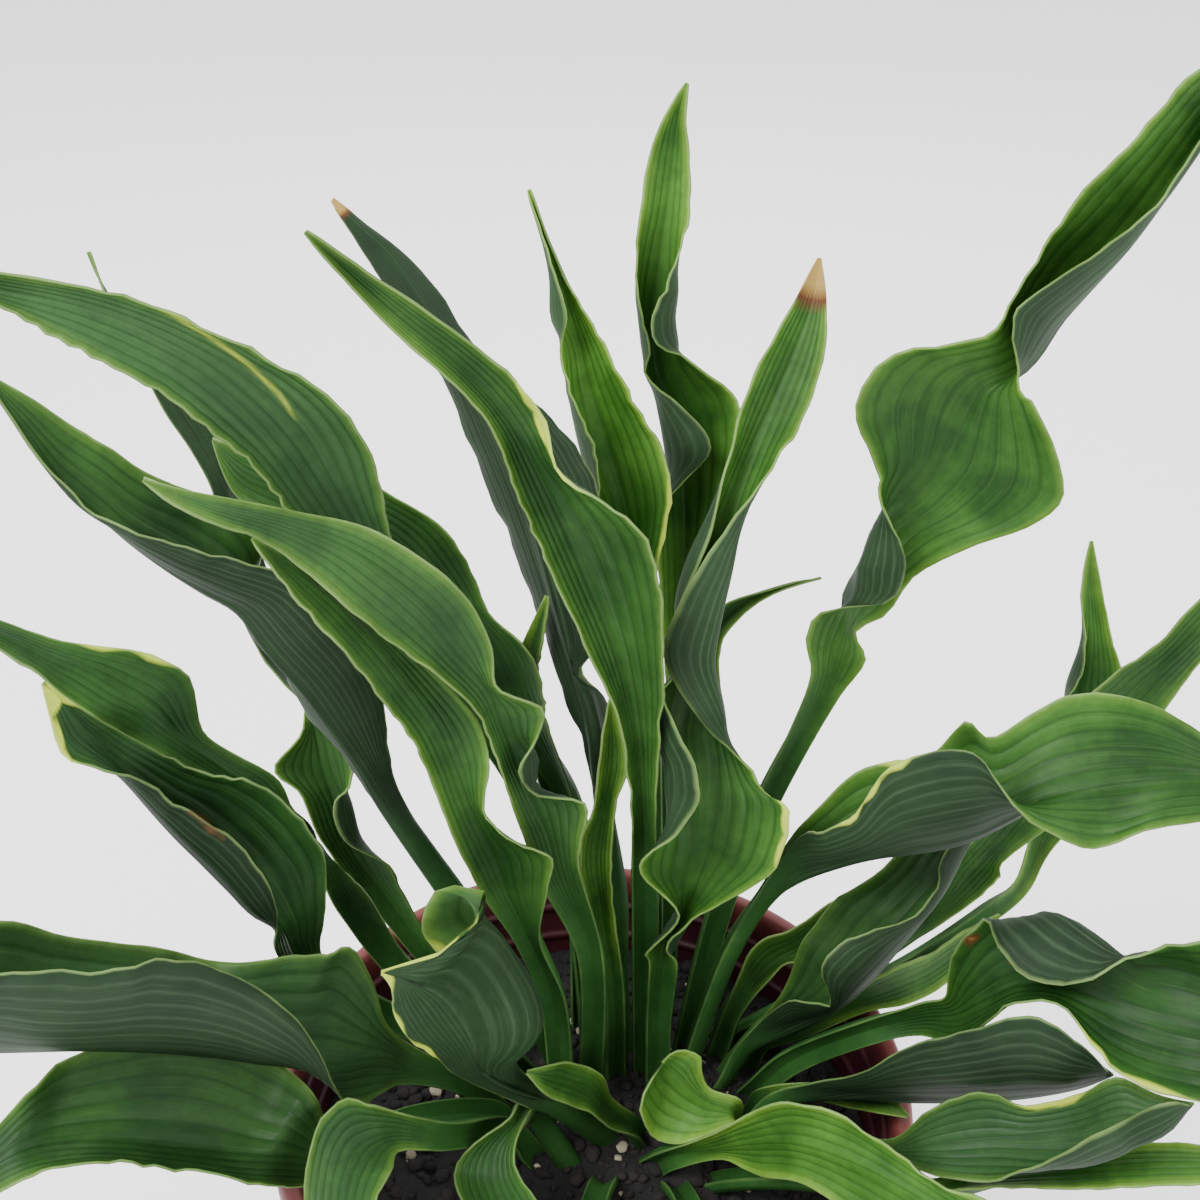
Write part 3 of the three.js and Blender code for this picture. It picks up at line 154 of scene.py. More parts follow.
LEAVES["P"] = dict(
    root=(27, 58), light=0.6,
    stalk=[(668, 900, 66), (672, 780, 78)],
    left=[(668, 700, 87), (662, 620, 87), (660, 560, 86), (668, 500, 86), (711, 449, 86), (680, 405, 92),
        (648, 377, 100), (651, 352, 102), (645, 325, 104), (640, 298, 106), (637, 255, 110),
        (641, 215, 114), (648, 165, 118), (663, 122, 121)],
    rib=[(678, 690, 90), (680, 620, 94), (684, 560, 97), (684, 500, 100), (680, 450, 104), (668, 400, 108),
        (656, 372, 110), (652, 345, 112), (652, 318, 114), (655, 288, 116), (660, 250, 118),
        (666, 212, 120), (672, 165, 122), (677, 120, 124)],
    right=[(690, 690, 86), (700, 610, 86), (716, 540, 86), (730, 480, 87), (739, 425, 91), (730, 393, 95),
        (687, 361, 96), (655, 343, 97), (652, 316, 100), (664, 290, 103), (676, 257, 109), (688, 218, 114),
        (689, 162, 119), (685, 118, 122)],
    tip=(687, 83, 125),
    bow_left=[0.1, 0.1, 0.15, 0.4, 0.9, 0.6, 0.2, 0.5, 0.5, 0.5, 0.3, 0.1, 0.1, 0.1],
    bow_right=[0.1, 0.1, 0.1, 0.1, 0.1, 0.1, 0.3, 0.9, 0.9, 0.8, 0.5, 0.15, 0.1, 0.1],
)
LEAVES["Q"] = dict(
    root=(24, 17), light=0.42,
    stalk=[(658, 1020, 20)],
    left=[(650, 962, 13), (648, 953, 10), (680, 916, 6), (643, 876, 2), (652, 853, 0), (680, 832, -2),
        (698, 802, -2), (698, 772, 0), (680, 735, 2), (665, 695, 8), (680, 660, 12), (682, 610, 15),
        (700, 565, 21), (716, 515, 30), (730, 460, 42), (745, 400, 55), (768, 350, 66), (790, 312, 75)],
    rib=[(662, 968, 18), (668, 942, 17), (685, 912, 15), (698, 882, 13), (708, 855, 12), (714, 825, 12),
        (718, 795, 13), (718, 765, 15), (714, 735, 17), (708, 700, 20), (694, 655, 22), (700, 605, 26),
        (712, 560, 32), (728, 510, 40), (748, 455, 52), (775, 395, 64), (796, 345, 74), (810, 308, 80)],
    right=[(676, 965, 14), (665, 948, 10), (692, 920, 8), (737, 895, 4), (772, 872, 0), (788, 830, 0),
        (785, 806, 2), (762, 790, 8), (738, 758, 10), (705, 727, 8), (665, 660, 10), (677, 608, 14),
        (704, 560, 20), (738, 512, 30), (775, 460, 42), (806, 412, 56), (823, 355, 67), (826, 315, 76)],
    tip=(820, 258, 88),
    bow_left=[0.1, 0.2, 0.3, 0.2, 0.4, 1, 1.4, 1.4, 1.2, 0.6, 0.4, 0.6, 0.8, 0.5, 0.2, 0.1, 0.1, 0.1],
    bow_right=[0.1, 0.1, 0.1, 0.1, 0.1, 0.1, 0.1, 0.1, 0.2, 0.8, 1.3, 1.3, 1, 0.6, 0.3, 0.1, 0.1, 0.1],
    yellow=[(788, 820, 20, 0.75), (782, 850, 18, 0.6), (786, 800, 14, 0.5)],
    dry=[(819, 262, 40, 1)],
)
LEAVES["S"] = dict(
    root=(32, 38), light=0.45,
    stalk=[(722, 900, 46), (772, 788, 53)],
    left=[(812, 675, 58), (807, 640, 58), (826, 613, 58), (885, 603, 54), (905, 570, 52), (900, 540, 54),
        (881, 500, 57), (878, 468, 59), (857, 403, 59), (885, 360, 58), (945, 346, 58), (990, 337, 60),
        (1014, 297, 65), (1045, 250, 68), (1078, 200, 70), (1135, 140, 70), (1195, 75, 70), (1240, 45, 71),
        (1240, 45, 71)],
    rib=[(826, 690, 60), (838, 650, 62), (850, 616, 64), (852, 596, 66), (869, 563, 67), (882, 528, 67),
        (915, 497, 69), (943, 465, 68), (970, 412, 68), (985, 388, 68), (1018, 372, 70), (1035, 357, 73),
        (1060, 320, 77), (1088, 288, 79), (1128, 243, 80), (1172, 180, 79), (1222, 108, 78), (1254, 68, 76),
        (1250, 52, 76)],
    right=[(840, 697, 59), (866, 660, 60), (857, 630, 68), (884, 617, 73), (918, 574, 68), (975, 546, 60),
        (1035, 524, 56), (1064, 492, 54), (1035, 408, 56), (1022, 394, 60), (1015, 366, 60),
        (1012, 335, 60), (1022, 303, 60), (1062, 275, 62), (1112, 242, 66), (1160, 198, 69),
        (1206, 134, 71), (1250, 82, 72), (1252, 75, 72)],
    tip=(1285, 5, 78),
    bow_left=[0.1, 0.15, 0.2, 0.6, 1, 0.8, 0.4, 0.25, 0.2, 0.15, 0.15, 0.15, 0.3, 0.4, 0.2, 0.15, 0.1, 0.1,
        0.1],
    bow_right=[0.1, 0.15, 0.2, 0.3, 0.2, 0.15, 0.1, 0.1, 0.1, 0.1, 0.1, 0.2, 0.25, 0.25, 0.25, 0.2, 0.2,
        0.15, 0.1],
)
print("leaves described:", len(LEAVES))

# %% Small leaves of the middle
LEAVES["T"] = dict(
    root=(39, 58), light=0.36, thin=True,
    stalk=[(712, 940, 74), (722, 820, 92), (715, 720, 104)],
    left=[(704, 670, 109), (706, 628, 113), (726, 605, 118), (765, 592, 124)],
    rib=[(710, 665, 112), (716, 632, 117), (738, 608, 122), (770, 592, 126)],
    right=[(718, 668, 109), (722, 640, 113), (742, 615, 119), (772, 594, 125)],
    tip=(821, 577, 132),
    bow_left=[0.12],
    bow_right=[0.12],
)
LEAVES["AK"] = dict(
    root=(-4, 53), light=0.6, thin=True,
    stalk=[(578, 900, 53), (550, 780, 50)],
    left=[(516, 720, 45), (511, 680, 42), (522, 645, 37)],
    rib=[(526, 715, 47), (522, 680, 45), (531, 650, 37)],
    right=[(536, 715, 44), (536, 680, 40), (541, 645, 31)],
    tip=(547, 597, 27),
    bow_left=[0.12],
    bow_right=[0.12],
)
LEAVES["AM"] = dict(
    root=(9, 28), light=0.6, thin=True,
    stalk=[(613, 980, 23)],
    left=[(588, 905, 19), (580, 855, 16), (596, 800, 19), (600, 760, 21), (606, 722, 24)],
    rib=[(601, 905, 23), (596, 855, 21), (606, 800, 23), (613, 760, 25), (612, 725, 26)],
    right=[(612, 903, 20), (611, 850, 18), (616, 800, 20), (626, 772, 22), (620, 732, 24)],
    tip=(611, 700, 24),
    bow_left=[0.12],
    bow_right=[0.12],
)
print("leaves described:", len(LEAVES))

# %% Arching leaves of the upper left
LEAVES["A"] = dict(
    root=(1, 41), light=0.3, bloom=0.6,
    stalk=[(575, 900, 38), (520, 780, 34), (465, 700, 29)],
    left=[(398, 640, 20), (345, 580, 12), (290, 510, 6), (250, 462, 2), (205, 425, 0), (155, 388, -1),
        (100, 360, -2), (50, 333, -3), (0, 305, -4), (-45, 290, -5)],
    rib=[(420, 628, 26), (375, 570, 22), (330, 500, 18), (290, 440, 14), (250, 398, 11), (205, 362, 9),
        (140, 328, 6), (75, 305, 4), (5, 290, 2), (-50, 280, -1)],
    right=[(438, 612, 24), (405, 575, 20), (386, 520, 17), (368, 450, 13), (325, 395, 10), (262, 358, 8),
        (180, 318, 5), (110, 294, 3), (20, 277, 1), (-40, 270, -1)],
    tip=(-100, 278, -6),
    bow_left=[0.1, 0.3, 0.3, 0.2],
    bow_right=[0.1, 0.25, 0.2, 0.1],
    streak=[(165, 311), (205, 334), (245, 362), (275, 390), (292, 412)],
)
LEAVES["B"] = dict(
    root=(-13, 43), light=0.3, bloom=0.3,
    stalk=[(490, 1015, 44), (430, 955, 42)],
    left=[(372, 905, 38), (340, 865, 35), (318, 835, 34), (302, 795, 34), (275, 768, 36), (303, 732, 42),
        (300, 690, 56), (292, 640, 60), (262, 560, 64), (236, 488, 68), (233, 452, 68), (215, 415, 72),
        (150, 338, 74), (108, 296, 74)],
    rib=[(392, 905, 42), (362, 868, 41), (345, 838, 40), (335, 805, 40), (322, 770, 42), (315, 735, 45),
        (298, 692, 50), (268, 640, 54), (238, 560, 58), (222, 490, 62), (205, 450, 66), (175, 405, 68),
        (138, 342, 70), (106, 296, 73)],
    right=[(400, 890, 38), (388, 866, 36), (345, 842, 32), (333, 805, 32), (350, 782, 35), (345, 740, 40),
        (288, 690, 42), (253, 642, 50), (222, 560, 56), (212, 492, 60), (190, 450, 64), (163, 410, 66),
        (130, 345, 68), (104, 295, 72)],
    tip=(88, 252, 76),
    bow_left=[0.1],
    bow_right=[0.1, 0.2, 1, 1, 0.4, 0.1, 0.1, 0.1, 0.1, 0.1, 0.1, 0.1, 0.1, 0.1],
)
LEAVES["C"] = dict(
    root=(-8, 31), light=0.18, bloom=0.15,
    stalk=[(520, 990, 20), (452, 895, 15)],
    left=[(400, 795, 13), (388, 752, 12), (384, 712, 10), (370, 665, 6), (335, 615, 0), (300, 580, -3),
        (268, 568, -4), (225, 557, -5), (180, 545, -5), (135, 531, -4), (95, 512, -2), (45, 463, 2),
        (8, 410, 6)],
    rib=[(385, 800, 10), (362, 762, 8), (335, 725, 5), (305, 685, 3), (272, 648, 2), (240, 607, 3),
        (205, 588, 4), (170, 567, 5), (135, 542, 5), (100, 512, 5), (65, 482, 6), (30, 435, 6), (0, 396, 7)],
    right=[(372, 795, 14), (342, 752, 14), (304, 706, 13), (272, 645, 14), (245, 612, 16), (258, 575, 20),
        (256, 534, 18), (212, 500, 18), (150, 475, 16), (110, 448, 14), (75, 428, 13), (35, 400, 11),
        (0, 380, 9)],
    tip=(-25, 362, 8),
    bow_left=[0.15, 0.25, 0.25, 0.15],
    bow_right=[0.1, 0.2, 0.2, 0.1],
)
LEAVES["D"] = dict(
    root=(-1, 17), light=0.3, bloom=0.4,
    stalk=[(590, 950, 10)],
    left=[(538, 880, 4), (525, 840, 1), (515, 812, -1), (508, 790, -4), (500, 765, -7), (492, 742, -9),
        (484, 722, -11), (470, 703, -14), (435, 672, -18), (398, 647, -21), (350, 610, -25),
        (308, 573, -30), (262, 540, -36), (210, 522, -41), (170, 502, -43)],
    rib=[(560, 880, 6), (548, 838, 4), (535, 808, 3), (526, 785, 2), (516, 762, 1), (507, 738, -1),
        (498, 715, -3), (488, 690, -6), (458, 655, -9), (425, 615, -13), (382, 578, -18), (340, 550, -24),
        (285, 527, -30), (225, 510, -37), (175, 494, -41)],
    right=[(579, 870, 3), (580, 845, -1), (584, 804, -2), (535, 796, -5), (518, 770, -9), (535, 741, -6),
        (543, 711, -4), (498, 691, -9), (492, 648, -8), (465, 597, -9), (415, 554, -12), (365, 527, -17),
        (305, 513, -24), (240, 500, -32), (183, 489, -39)],
    tip=(143, 480, -43),
    bow_left=[0.1, 0.15, 0.2, 0.1],
    bow_right=[0.1, 0.1, 0.1, 0.5, 1.1, 0.4, 0.1, 0.1, 0.15, 0.2, 0.2, 0.2, 0.15, 0.1, 0.1],
)
LEAVES["E"] = dict(
    root=(-10, 8), light=0.3, bloom=0.1,
    stalk=[(553, 1000, 8), (527, 935, 2)],
    left=[(485, 900, -5), (470, 870, -8), (456, 842, -10), (443, 810, -12), (430, 775, -14),
        (413, 740, -18), (390, 708, -21), (355, 663, -23), (320, 625, -24), (290, 590, -24),
        (267, 560, -23)],
    rib=[(508, 895, -1), (496, 862, -2), (482, 832, -4), (468, 800, -6), (455, 765, -8), (438, 725, -10),
        (412, 688, -12), (378, 645, -14), (340, 605, -16), (305, 578, -18), (275, 555, -19)],
    right=[(547, 892, -5), (550, 858, -7), (515, 844, -9), (484, 815, -9), (489, 768, -8), (481, 728, -6),
        (452, 690, -6), (410, 650, -8), (366, 621, -10), (325, 580, -13), (290, 553, -17)],
    tip=(252, 538, -20),
    bow_left=[0.1, 0.2, 0.2, 0.1],
    bow_right=[0.1, 0.1, 0.15, 0.15, 0.2, 0.2, 0.2, 0.15, 0.1, 0.1, 0.1],
)
LEAVES["F"] = dict(
    root=(7, 51), light=0.15,
    stalk=[(592, 900, 43), (570, 800, 43)],
    left=[(520, 745, 40), (495, 700, 37), (470, 650, 35), (440, 615, 35), (405, 580, 35), (365, 545, 35),
        (320, 535, 36), (262, 512, 40), (232, 492, 44)],
    rib=[(535, 735, 38), (515, 690, 37), (492, 645, 36), (465, 605, 36), (432, 570, 37), (395, 535, 39),
        (345, 505, 41), (290, 485, 43), (248, 468, 44)],
    right=[(545, 722, 30), (543, 700, 29), (530, 655, 30), (490, 615, 36), (474, 578, 38), (445, 531, 40),
        (390, 495, 44), (320, 462, 47), (262, 452, 47)],
    tip=(212, 440, 48),
    bow_left=[0.15],
    bow_right=[0.15],
)
LEAVES["G1"] = dict(
    root=(-19, 31), light=0.1, bloom=0.15,
    stalk=[(480, 1030, 21), (400, 968, 13)],
    left=[(335, 905, 3), (315, 858, -3), (292, 830, -2), (262, 805, -5), (232, 788, -7), (198, 775, -8),
        (165, 757, -9), (130, 738, -9), (100, 720, -17), (65, 697, -17), (38, 673, -17), (0, 650, -16),
        (-35, 625, -16)],
    rib=[(352, 907, 7), (330, 862, 3), (310, 832, 0), (278, 806, -3), (248, 785, -5), (215, 762, -6),
        (182, 738, -7), (152, 712, -8), (122, 692, -8), (85, 670, -9), (48, 655, -10), (5, 635, -12),
        (-38, 617, -14)],
    right=[(367, 895, 8), (345, 872, 6), (316, 838, 4), (292, 806, 3), (276, 777, 2), (225, 748, 0),
        (202, 728, -1), (189, 678, 0), (150, 655, 0), (108, 647, -2), (60, 640, -4), (12, 624, -7),
        (-38, 608, -10)],
    tip=(-75, 600, -16),
    bow_left=[0.15],
    bow_right=[0.1, 0.1, 0.1, 0.1, 0.15, 0.2, 0.2, 0.25, 0.25, 0.2, 0.1, 0.1, 0.1],
    yellow=[(100, 652, 22, 0.45), (150, 664, 20, 0.5)],
)
LEAVES["G2"] = dict(
    root=(-14, 19), light=0.04, bloom=0.12,
    stalk=[(480, 1054, 9), (400, 1022, 2), (345, 992, -4)],
    left=[(280, 960, -14), (277, 922, -26), (273, 895, -33), (257, 865, -35), (235, 840, -36),
        (205, 820, -37), (172, 800, -38), (138, 778, -39), (95, 766, -39), (64, 757, -38), (50, 715, -37)],
    rib=[(300, 962, -11), (281, 925, -19), (258, 905, -19), (232, 880, -19), (206, 855, -20),
        (178, 828, -23), (153, 802, -26), (127, 775, -29), (102, 748, -31), (82, 727, -33), (65, 705, -34)],
    right=[(322, 955, -6), (326, 905, -10), (325, 860, -10), (308, 830, -13), (283, 802, -13),
        (250, 782, -15), (212, 776, -18), (172, 760, -22), (132, 738, -23), (100, 720, -28), (75, 704, -31)],
    tip=(44, 683, -35),
    bow_left=[0.1, 0.3, 0.4, 0.4, 0.4, 0.4, 0.35, 0.25, 0.1, 0.1, 0.1],
    bow_right=[0.15, 0.2, 0.2, 0.1],
    yellow=[(58, 700, 16, 1), (52, 740, 18, 1), (60, 770, 14, 0.8)],
    dry=[(193, 812, 8, 0.34), (202, 819, 8, 0.36), (211, 827, 8, 0.36), (221, 835, 8, 0.34)],
)
print("leaves described:", len(LEAVES))

# %% Low leaves of the left
LEAVES["I"] = dict(
    root=(-27, 13), light=0.3, bloom=0.6,
    stalk=[(460, 1080, 3)],
    left=[(400, 1085, -12), (365, 1105, -28), (345, 1103, -38), (332, 1078, -45), (313, 1040, -50),
        (285, 1008, -54), (245, 980, -58), (200, 962, -62), (155, 960, -65), (110, 970, -68),
        (55, 970, -71), (0, 975, -74), (-60, 1000, -77)],
    rib=[(415, 1070, -6), (385, 1058, -16), (355, 1062, -24), (325, 1064, -30), (295, 1062, -34),
        (262, 1058, -38), (225, 1052, -42), (180, 1048, -46), (130, 1046, -50), (80, 1046, -54),
        (30, 1048, -58), (-25, 1050, -62), (-80, 1052, -68)],
    right=[(420, 1050, -2), (386, 1022, -12), (374, 985, -13), (352, 949, -14), (327, 955, -18),
        (300, 955, -18), (255, 962, -22), (210, 960, -20), (165, 949, -25), (115, 943, -30), (60, 935, -36),
        (0, 922, -44), (-65, 945, -54)],
    tip=(-150, 1055, -76),
    bow_left=[0.1, 0.2, 0.35, 0.3, 0.2, 0.2, 0.2, 0.2, 0.2, 0.2, 0.2, 0.1, 0.1],
    bow_right=[0.15, 0.2, 0.2, 0.2, 0.15],
)
LEAVES["J"] = dict(
    root=(-22, 2), light=0.25, bloom=0.3,
    stalk=[(500, 1116, 0), (400, 1124, -24)],
    left=[(322, 1180, -51), (298, 1187, -59), (270, 1184, -68), (235, 1178, -71), (195, 1170, -74),
        (150, 1164, -77), (105, 1161, -80), (60, 1166, -83), (20, 1180, -86), (-15, 1200, -89),
        (-40, 1222, -92)],
    rib=[(327, 1163, -45), (304, 1158, -49), (272, 1155, -56), (235, 1152, -56), (195, 1148, -59),
        (150, 1143, -63), (108, 1140, -67), (62, 1142, -71), (18, 1152, -78), (-15, 1172, -82),
        (-42, 1200, -87)],
    right=[(333, 1150, -40), (326, 1122, -39), (312, 1092, -42), (280, 1064, -33), (235, 1040, -35),
        (185, 1033, -39), (130, 1040, -44), (80, 1053, -49), (35, 1087, -65), (0, 1123, -72),
        (-35, 1165, -79)],
    tip=(-75, 1245, -94),
    bow_left=[0.15],
    bow_right=[0.1, 0.2, 0.25, 0.25, 0.2, 0.1],
)
LEAVES["K"] = dict(
    root=(-14, -6), light=0.35, bloom=0.45,
    stalk=[(510, 1132, -9), (440, 1136, -36)],
    left=[(398, 1152, -52), (393, 1168, -62), (380, 1190, -72), (372, 1215, -80), (366, 1250, -92)],
    rib=[(388, 1134, -50), (358, 1146, -58), (343, 1175, -68), (338, 1210, -78), (338, 1250, -90)],
    right=[(378, 1108, -50), (345, 1100, -52), (318, 1125, -58), (305, 1180, -72), (308, 1235, -83)],
    tip=(343, 1310, -102),
    bow_left=[0.2],
    bow_right=[0.2],
)
LEAVES["Lc"] = dict(
    root=(11, 5), light=0.5, bloom=0.5,
    stalk=[(560, 1105, -12)],
    left=[(545, 1083, -10), (512, 1060, -20), (500, 1000, -8), (440, 955, -8), (421, 925, -10),
        (440, 888, -14), (485, 893, -26), (460, 940, -44)],
    rib=[(532, 1093, -16), (482, 1064, -31), (472, 1042, -37), (455, 1015, -42), (438, 995, -45),
        (422, 985, -48), (408, 979, -50), (395, 975, -51)],
    right=[(520, 1104, -20), (455, 1072, -34), (430, 1052, -44), (407, 1036, -50), (393, 1012, -52),
        (392, 996, -53), (390, 986, -53), (385, 979, -53)],
    tip=(381, 973, -53),
    bow_left=[0.3, 0.5, 1.1, 1.2, 1.1, 0.9, 0.5, 0.1],
    bow_right=[0.1],
    yellow=[(388, 972, 14, 0.7), (440, 952, 14, 0.6), (470, 936, 12, 0.6), (424, 1050, 14, 0.7),
        (396, 1022, 12, 0.5)],
)
print("leaves described:", len(LEAVES))

# %% Front leaves
LEAVES["AE"] = dict(
    root=(21, 4), light=0.3, thin=True,
    stalk=[(634, 1128, -5)],
    left=[(612, 1128, -14), (592, 1113, -20), (565, 1103, -26), (542, 1091, -30)],
    rib=[(607, 1112, -12), (590, 1092, -17), (565, 1082, -23), (545, 1077, -28)],
    right=[(613, 1098, -6), (603, 1076, -9), (580, 1065, -14), (556, 1064, -22)],
    tip=(527, 1072, -28),
    bow_left=[0.3],
    bow_right=[0.3],
)
LEAVES["AF"] = dict(
    root=(-3, -10), light=0.14, thin=True,
    stalk=[(530, 1110, -8)],
    left=[(521, 1128, -26), (514, 1150, -34), (517, 1172, -40), (535, 1200, -50), (545, 1240, -62),
        (535, 1275, -74)],
    rib=[(514, 1126, -25), (495, 1150, -32), (490, 1175, -38), (500, 1205, -48), (510, 1245, -60),
        (515, 1280, -72)],
    right=[(507, 1122, -27), (470, 1148, -33), (454, 1172, -38), (462, 1200, -49), (475, 1240, -61),
        (495, 1275, -73)],
    tip=(512, 1320, -76),
    bow_left=[0.12],
    bow_right=[0.12],
)
LEAVES["AG"] = dict(
    root=(6, -10), light=0.3,
    stalk=[(594, 1208, -40)],
    left=[(612, 1232, -60), (622, 1275, -86), (602, 1350, -112), (564, 1425, -130)],
    rib=[(590, 1230, -60), (578, 1278, -88), (558, 1350, -114), (534, 1430, -135)],
    right=[(568, 1232, -60), (534, 1275, -86), (516, 1358, -116), (508, 1440, -139)],
    tip=(494, 1495, -155),
    bow_left=[0.12],
    bow_right=[0.12],
)
LEAVES["AH"] = dict(
    root=(27, -12), light=0.3,
    stalk=[(688, 1208, -40)],
    left=[(715, 1232, -60), (752, 1275, -84), (782, 1346, -107), (794, 1425, -124)],
    rib=[(692, 1230, -60), (708, 1278, -88), (737, 1350, -113), (764, 1433, -131)],
    right=[(672, 1232, -60), (666, 1280, -88), (697, 1361, -117), (738, 1443, -136)],
    tip=(800, 1506, -149),
    bow_left=[0.12],
    bow_right=[0.12],
)
LEAVES["AD1"] = dict(
    root=(35, -3), light=0.8, thin=True,
    stalk=[(730, 1128, -6)],
    left=[(735, 1122, -16), (700, 1138, -22), (672, 1144, -21), (650, 1133, -21), (642, 1105, -22)],
    rib=[(732, 1112, -12), (708, 1102, -12), (690, 1090, -11), (678, 1078, -10), (670, 1070, -9)],
    right=[(740, 1099, -8), (710, 1088, -6), (702, 1070, -4), (700, 1056, -2), (683, 1050, -2)],
    tip=(663, 1063, -10),
    bow_left=[0.3],
    bow_right=[0.3],
)
LEAVES["AD2"] = dict(
    root=(16, -6), light=0.7,
    stalk=[(670, 1156, -18)],
    left=[(705, 1138, -24), (740, 1120, -30), (785, 1103, -38), (835, 1115, -48), (890, 1150, -60),
        (930, 1180, -72), (1000, 1215, -88), (1050, 1290, -104)],
    rib=[(715, 1150, -24), (750, 1145, -32), (795, 1145, -42), (845, 1160, -54), (905, 1190, -68),
        (960, 1225, -82), (1015, 1265, -98), (1055, 1310, -112)],
    right=[(722, 1160, -26), (758, 1176, -38), (803, 1184, -50), (850, 1215, -64), (905, 1255, -80),
        (960, 1290, -96), (1010, 1320, -110), (1050, 1350, -122)],
    tip=(1085, 1370, -130),
    bow_left=[0.15, 0.3, 0.3, 0.2],
    bow_right=[0.2],
)
print("leaves described:", len(LEAVES))

# %% Leaves of the upper right
LEAVES["V"] = dict(
    root=(31, 27), light=0.28,
    stalk=[(730, 950, 27), (765, 895, 25)],
    left=[(790, 838, 27), (820, 806, 28), (855, 773, 29), (893, 761, 29), (930, 756, 26), (965, 722, 22),
        (990, 738, 21), (1030, 715, 21), (1065, 697, 21), (1110, 694, 20), (1160, 708, 18), (1205, 735, 14),
        (1250, 765, 6)],
    rib=[(794, 874, 20), (835, 860, 16), (875, 851, 12), (910, 846, 9), (945, 841, 7), (975, 833, 5),
        (1005, 818, 4), (1040, 800, 3), (1080, 790, 2), (1125, 783, 1), (1175, 778, -1), (1215, 778, -2),
        (1255, 785, -3)],
    right=[(798, 838, 14), (828, 829, 6), (856, 812, 3), (886, 770, 1), (925, 753, -1), (965, 750, -3),
        (988, 766, -5), (1015, 806, -8), (1052, 834, -10), (1095, 848, -12), (1150, 829, -12),
        (1200, 822, -10), (1250, 812, -8)],
    tip=(1300, 798, -6),
    bow_left=[0.2],
    bow_right=[0.2, 0.25, 0.25, 0.25, 0.25, 0.25, 0.2, 0.15, 0.15, 0.15, 0.15, 0.1, 0.1],
    yellow=[(850, 815, 14, 0.6), (875, 790, 14, 0.7), (898, 765, 14, 0.6)],
)
LEAVES["W"] = dict(
    root=(45, 51), light=0.3,
    stalk=[(800, 1000, 38), (840, 975, 38), (880, 950, 48)],
    left=[(928, 908, 58), (945, 875, 64), (975, 838, 73), (1010, 800, 78), (1060, 730, 84), (1120, 670, 90),
        (1158, 646, 94), (1200, 600, 99)],
    rib=[(945, 903, 60), (972, 872, 69), (995, 850, 77), (1025, 815, 81), (1080, 755, 87), (1142, 690, 93),
        (1175, 660, 97), (1212, 622, 101)],
    right=[(968, 905, 58), (998, 878, 63), (1003, 862, 73), (1043, 832, 77), (1105, 785, 81),
        (1163, 713, 88), (1192, 672, 92), (1225, 635, 97)],
    tip=(1262, 560, 106),
    bow_left=[0.15],
    bow_right=[0.15],
)
LEAVES["U"] = dict(
    root=(57, 53), light=0.5, thin=True,
    stalk=[(800, 1018, 44), (860, 990, 32), (910, 965, 40), (985, 915, 64)],
    left=[(1017, 880, 82), (1030, 840, 94), (1045, 770, 109), (1066, 705, 124), (1083, 672, 132),
        (1086, 640, 140), (1082, 590, 149)],
    rib=[(1023, 885, 83), (1038, 850, 97), (1065, 785, 114), (1085, 725, 130), (1092, 675, 138),
        (1094, 640, 144), (1091, 592, 151)],
    right=[(1030, 890, 82), (1048, 855, 95), (1095, 795, 109), (1118, 725, 126), (1121, 672, 135),
        (1112, 640, 142), (1102, 590, 150)],
    tip=(1092, 541, 158),
    bow_left=[0.1, 0.1, 0.1, 0.4, 1.2, 0.9, 0.1],
    bow_right=[0.15],
)
LEAVES["Z"] = dict(
    root=(42, 24), light=0.25, bloom=0.3,
    stalk=[(745, 1045, 26)],
    left=[(775, 1003, 26), (790, 975, 28), (800, 945, 30), (815, 925, 32), (835, 900, 33), (855, 888, 33),
        (885, 868, 32), (905, 850, 32)],
    rib=[(798, 1022, 19), (838, 1001, 15), (862, 982, 14), (885, 958, 15), (908, 932, 17), (930, 905, 21),
        (948, 880, 25), (962, 855, 28)],
    right=[(790, 1000, 15), (830, 1003, 7), (822, 965, 3), (845, 941, 4), (880, 928, 7), (915, 915, 13),
        (937, 885, 19), (941, 858, 23)],
    tip=(985, 815, 33),
    bow_left=[0.2],
    bow_right=[0.2, 0.3, 0.4, 0.4, 0.3, 0.3, 0.3, 0.2],
)
LEAVES["Z2"] = dict(
    root=(44, 37), light=0.3, thin=True,
    stalk=[(735, 1005, 39)],
    left=[(757, 945, 45), (790, 932, 47), (815, 915, 49), (835, 902, 51)],
    rib=[(770, 963, 46), (800, 945, 48), (822, 925, 50), (840, 911, 52)],
    right=[(788, 962, 43), (815, 962, 45), (828, 938, 47), (846, 920, 50)],
    tip=(860, 906, 54),
    bow_left=[0.12],
    bow_right=[0.12],
)
LEAVES["AL"] = dict(
    root=(54, 33), light=0.6, thin=True,
    stalk=[(760, 1042, 33), (800, 1028, 27)],
    left=[(850, 993, 25), (893, 970, 27), (930, 955, 33), (960, 935, 39)],
    rib=[(858, 1003, 27), (898, 988, 29), (933, 972, 35), (962, 950, 40)],
    right=[(868, 1012, 25), (905, 1005, 26), (938, 990, 32), (967, 965, 38)],
    tip=(1000, 915, 44),
    bow_left=[0.12],
    bow_right=[0.12],
)
print("leaves described:", len(LEAVES))

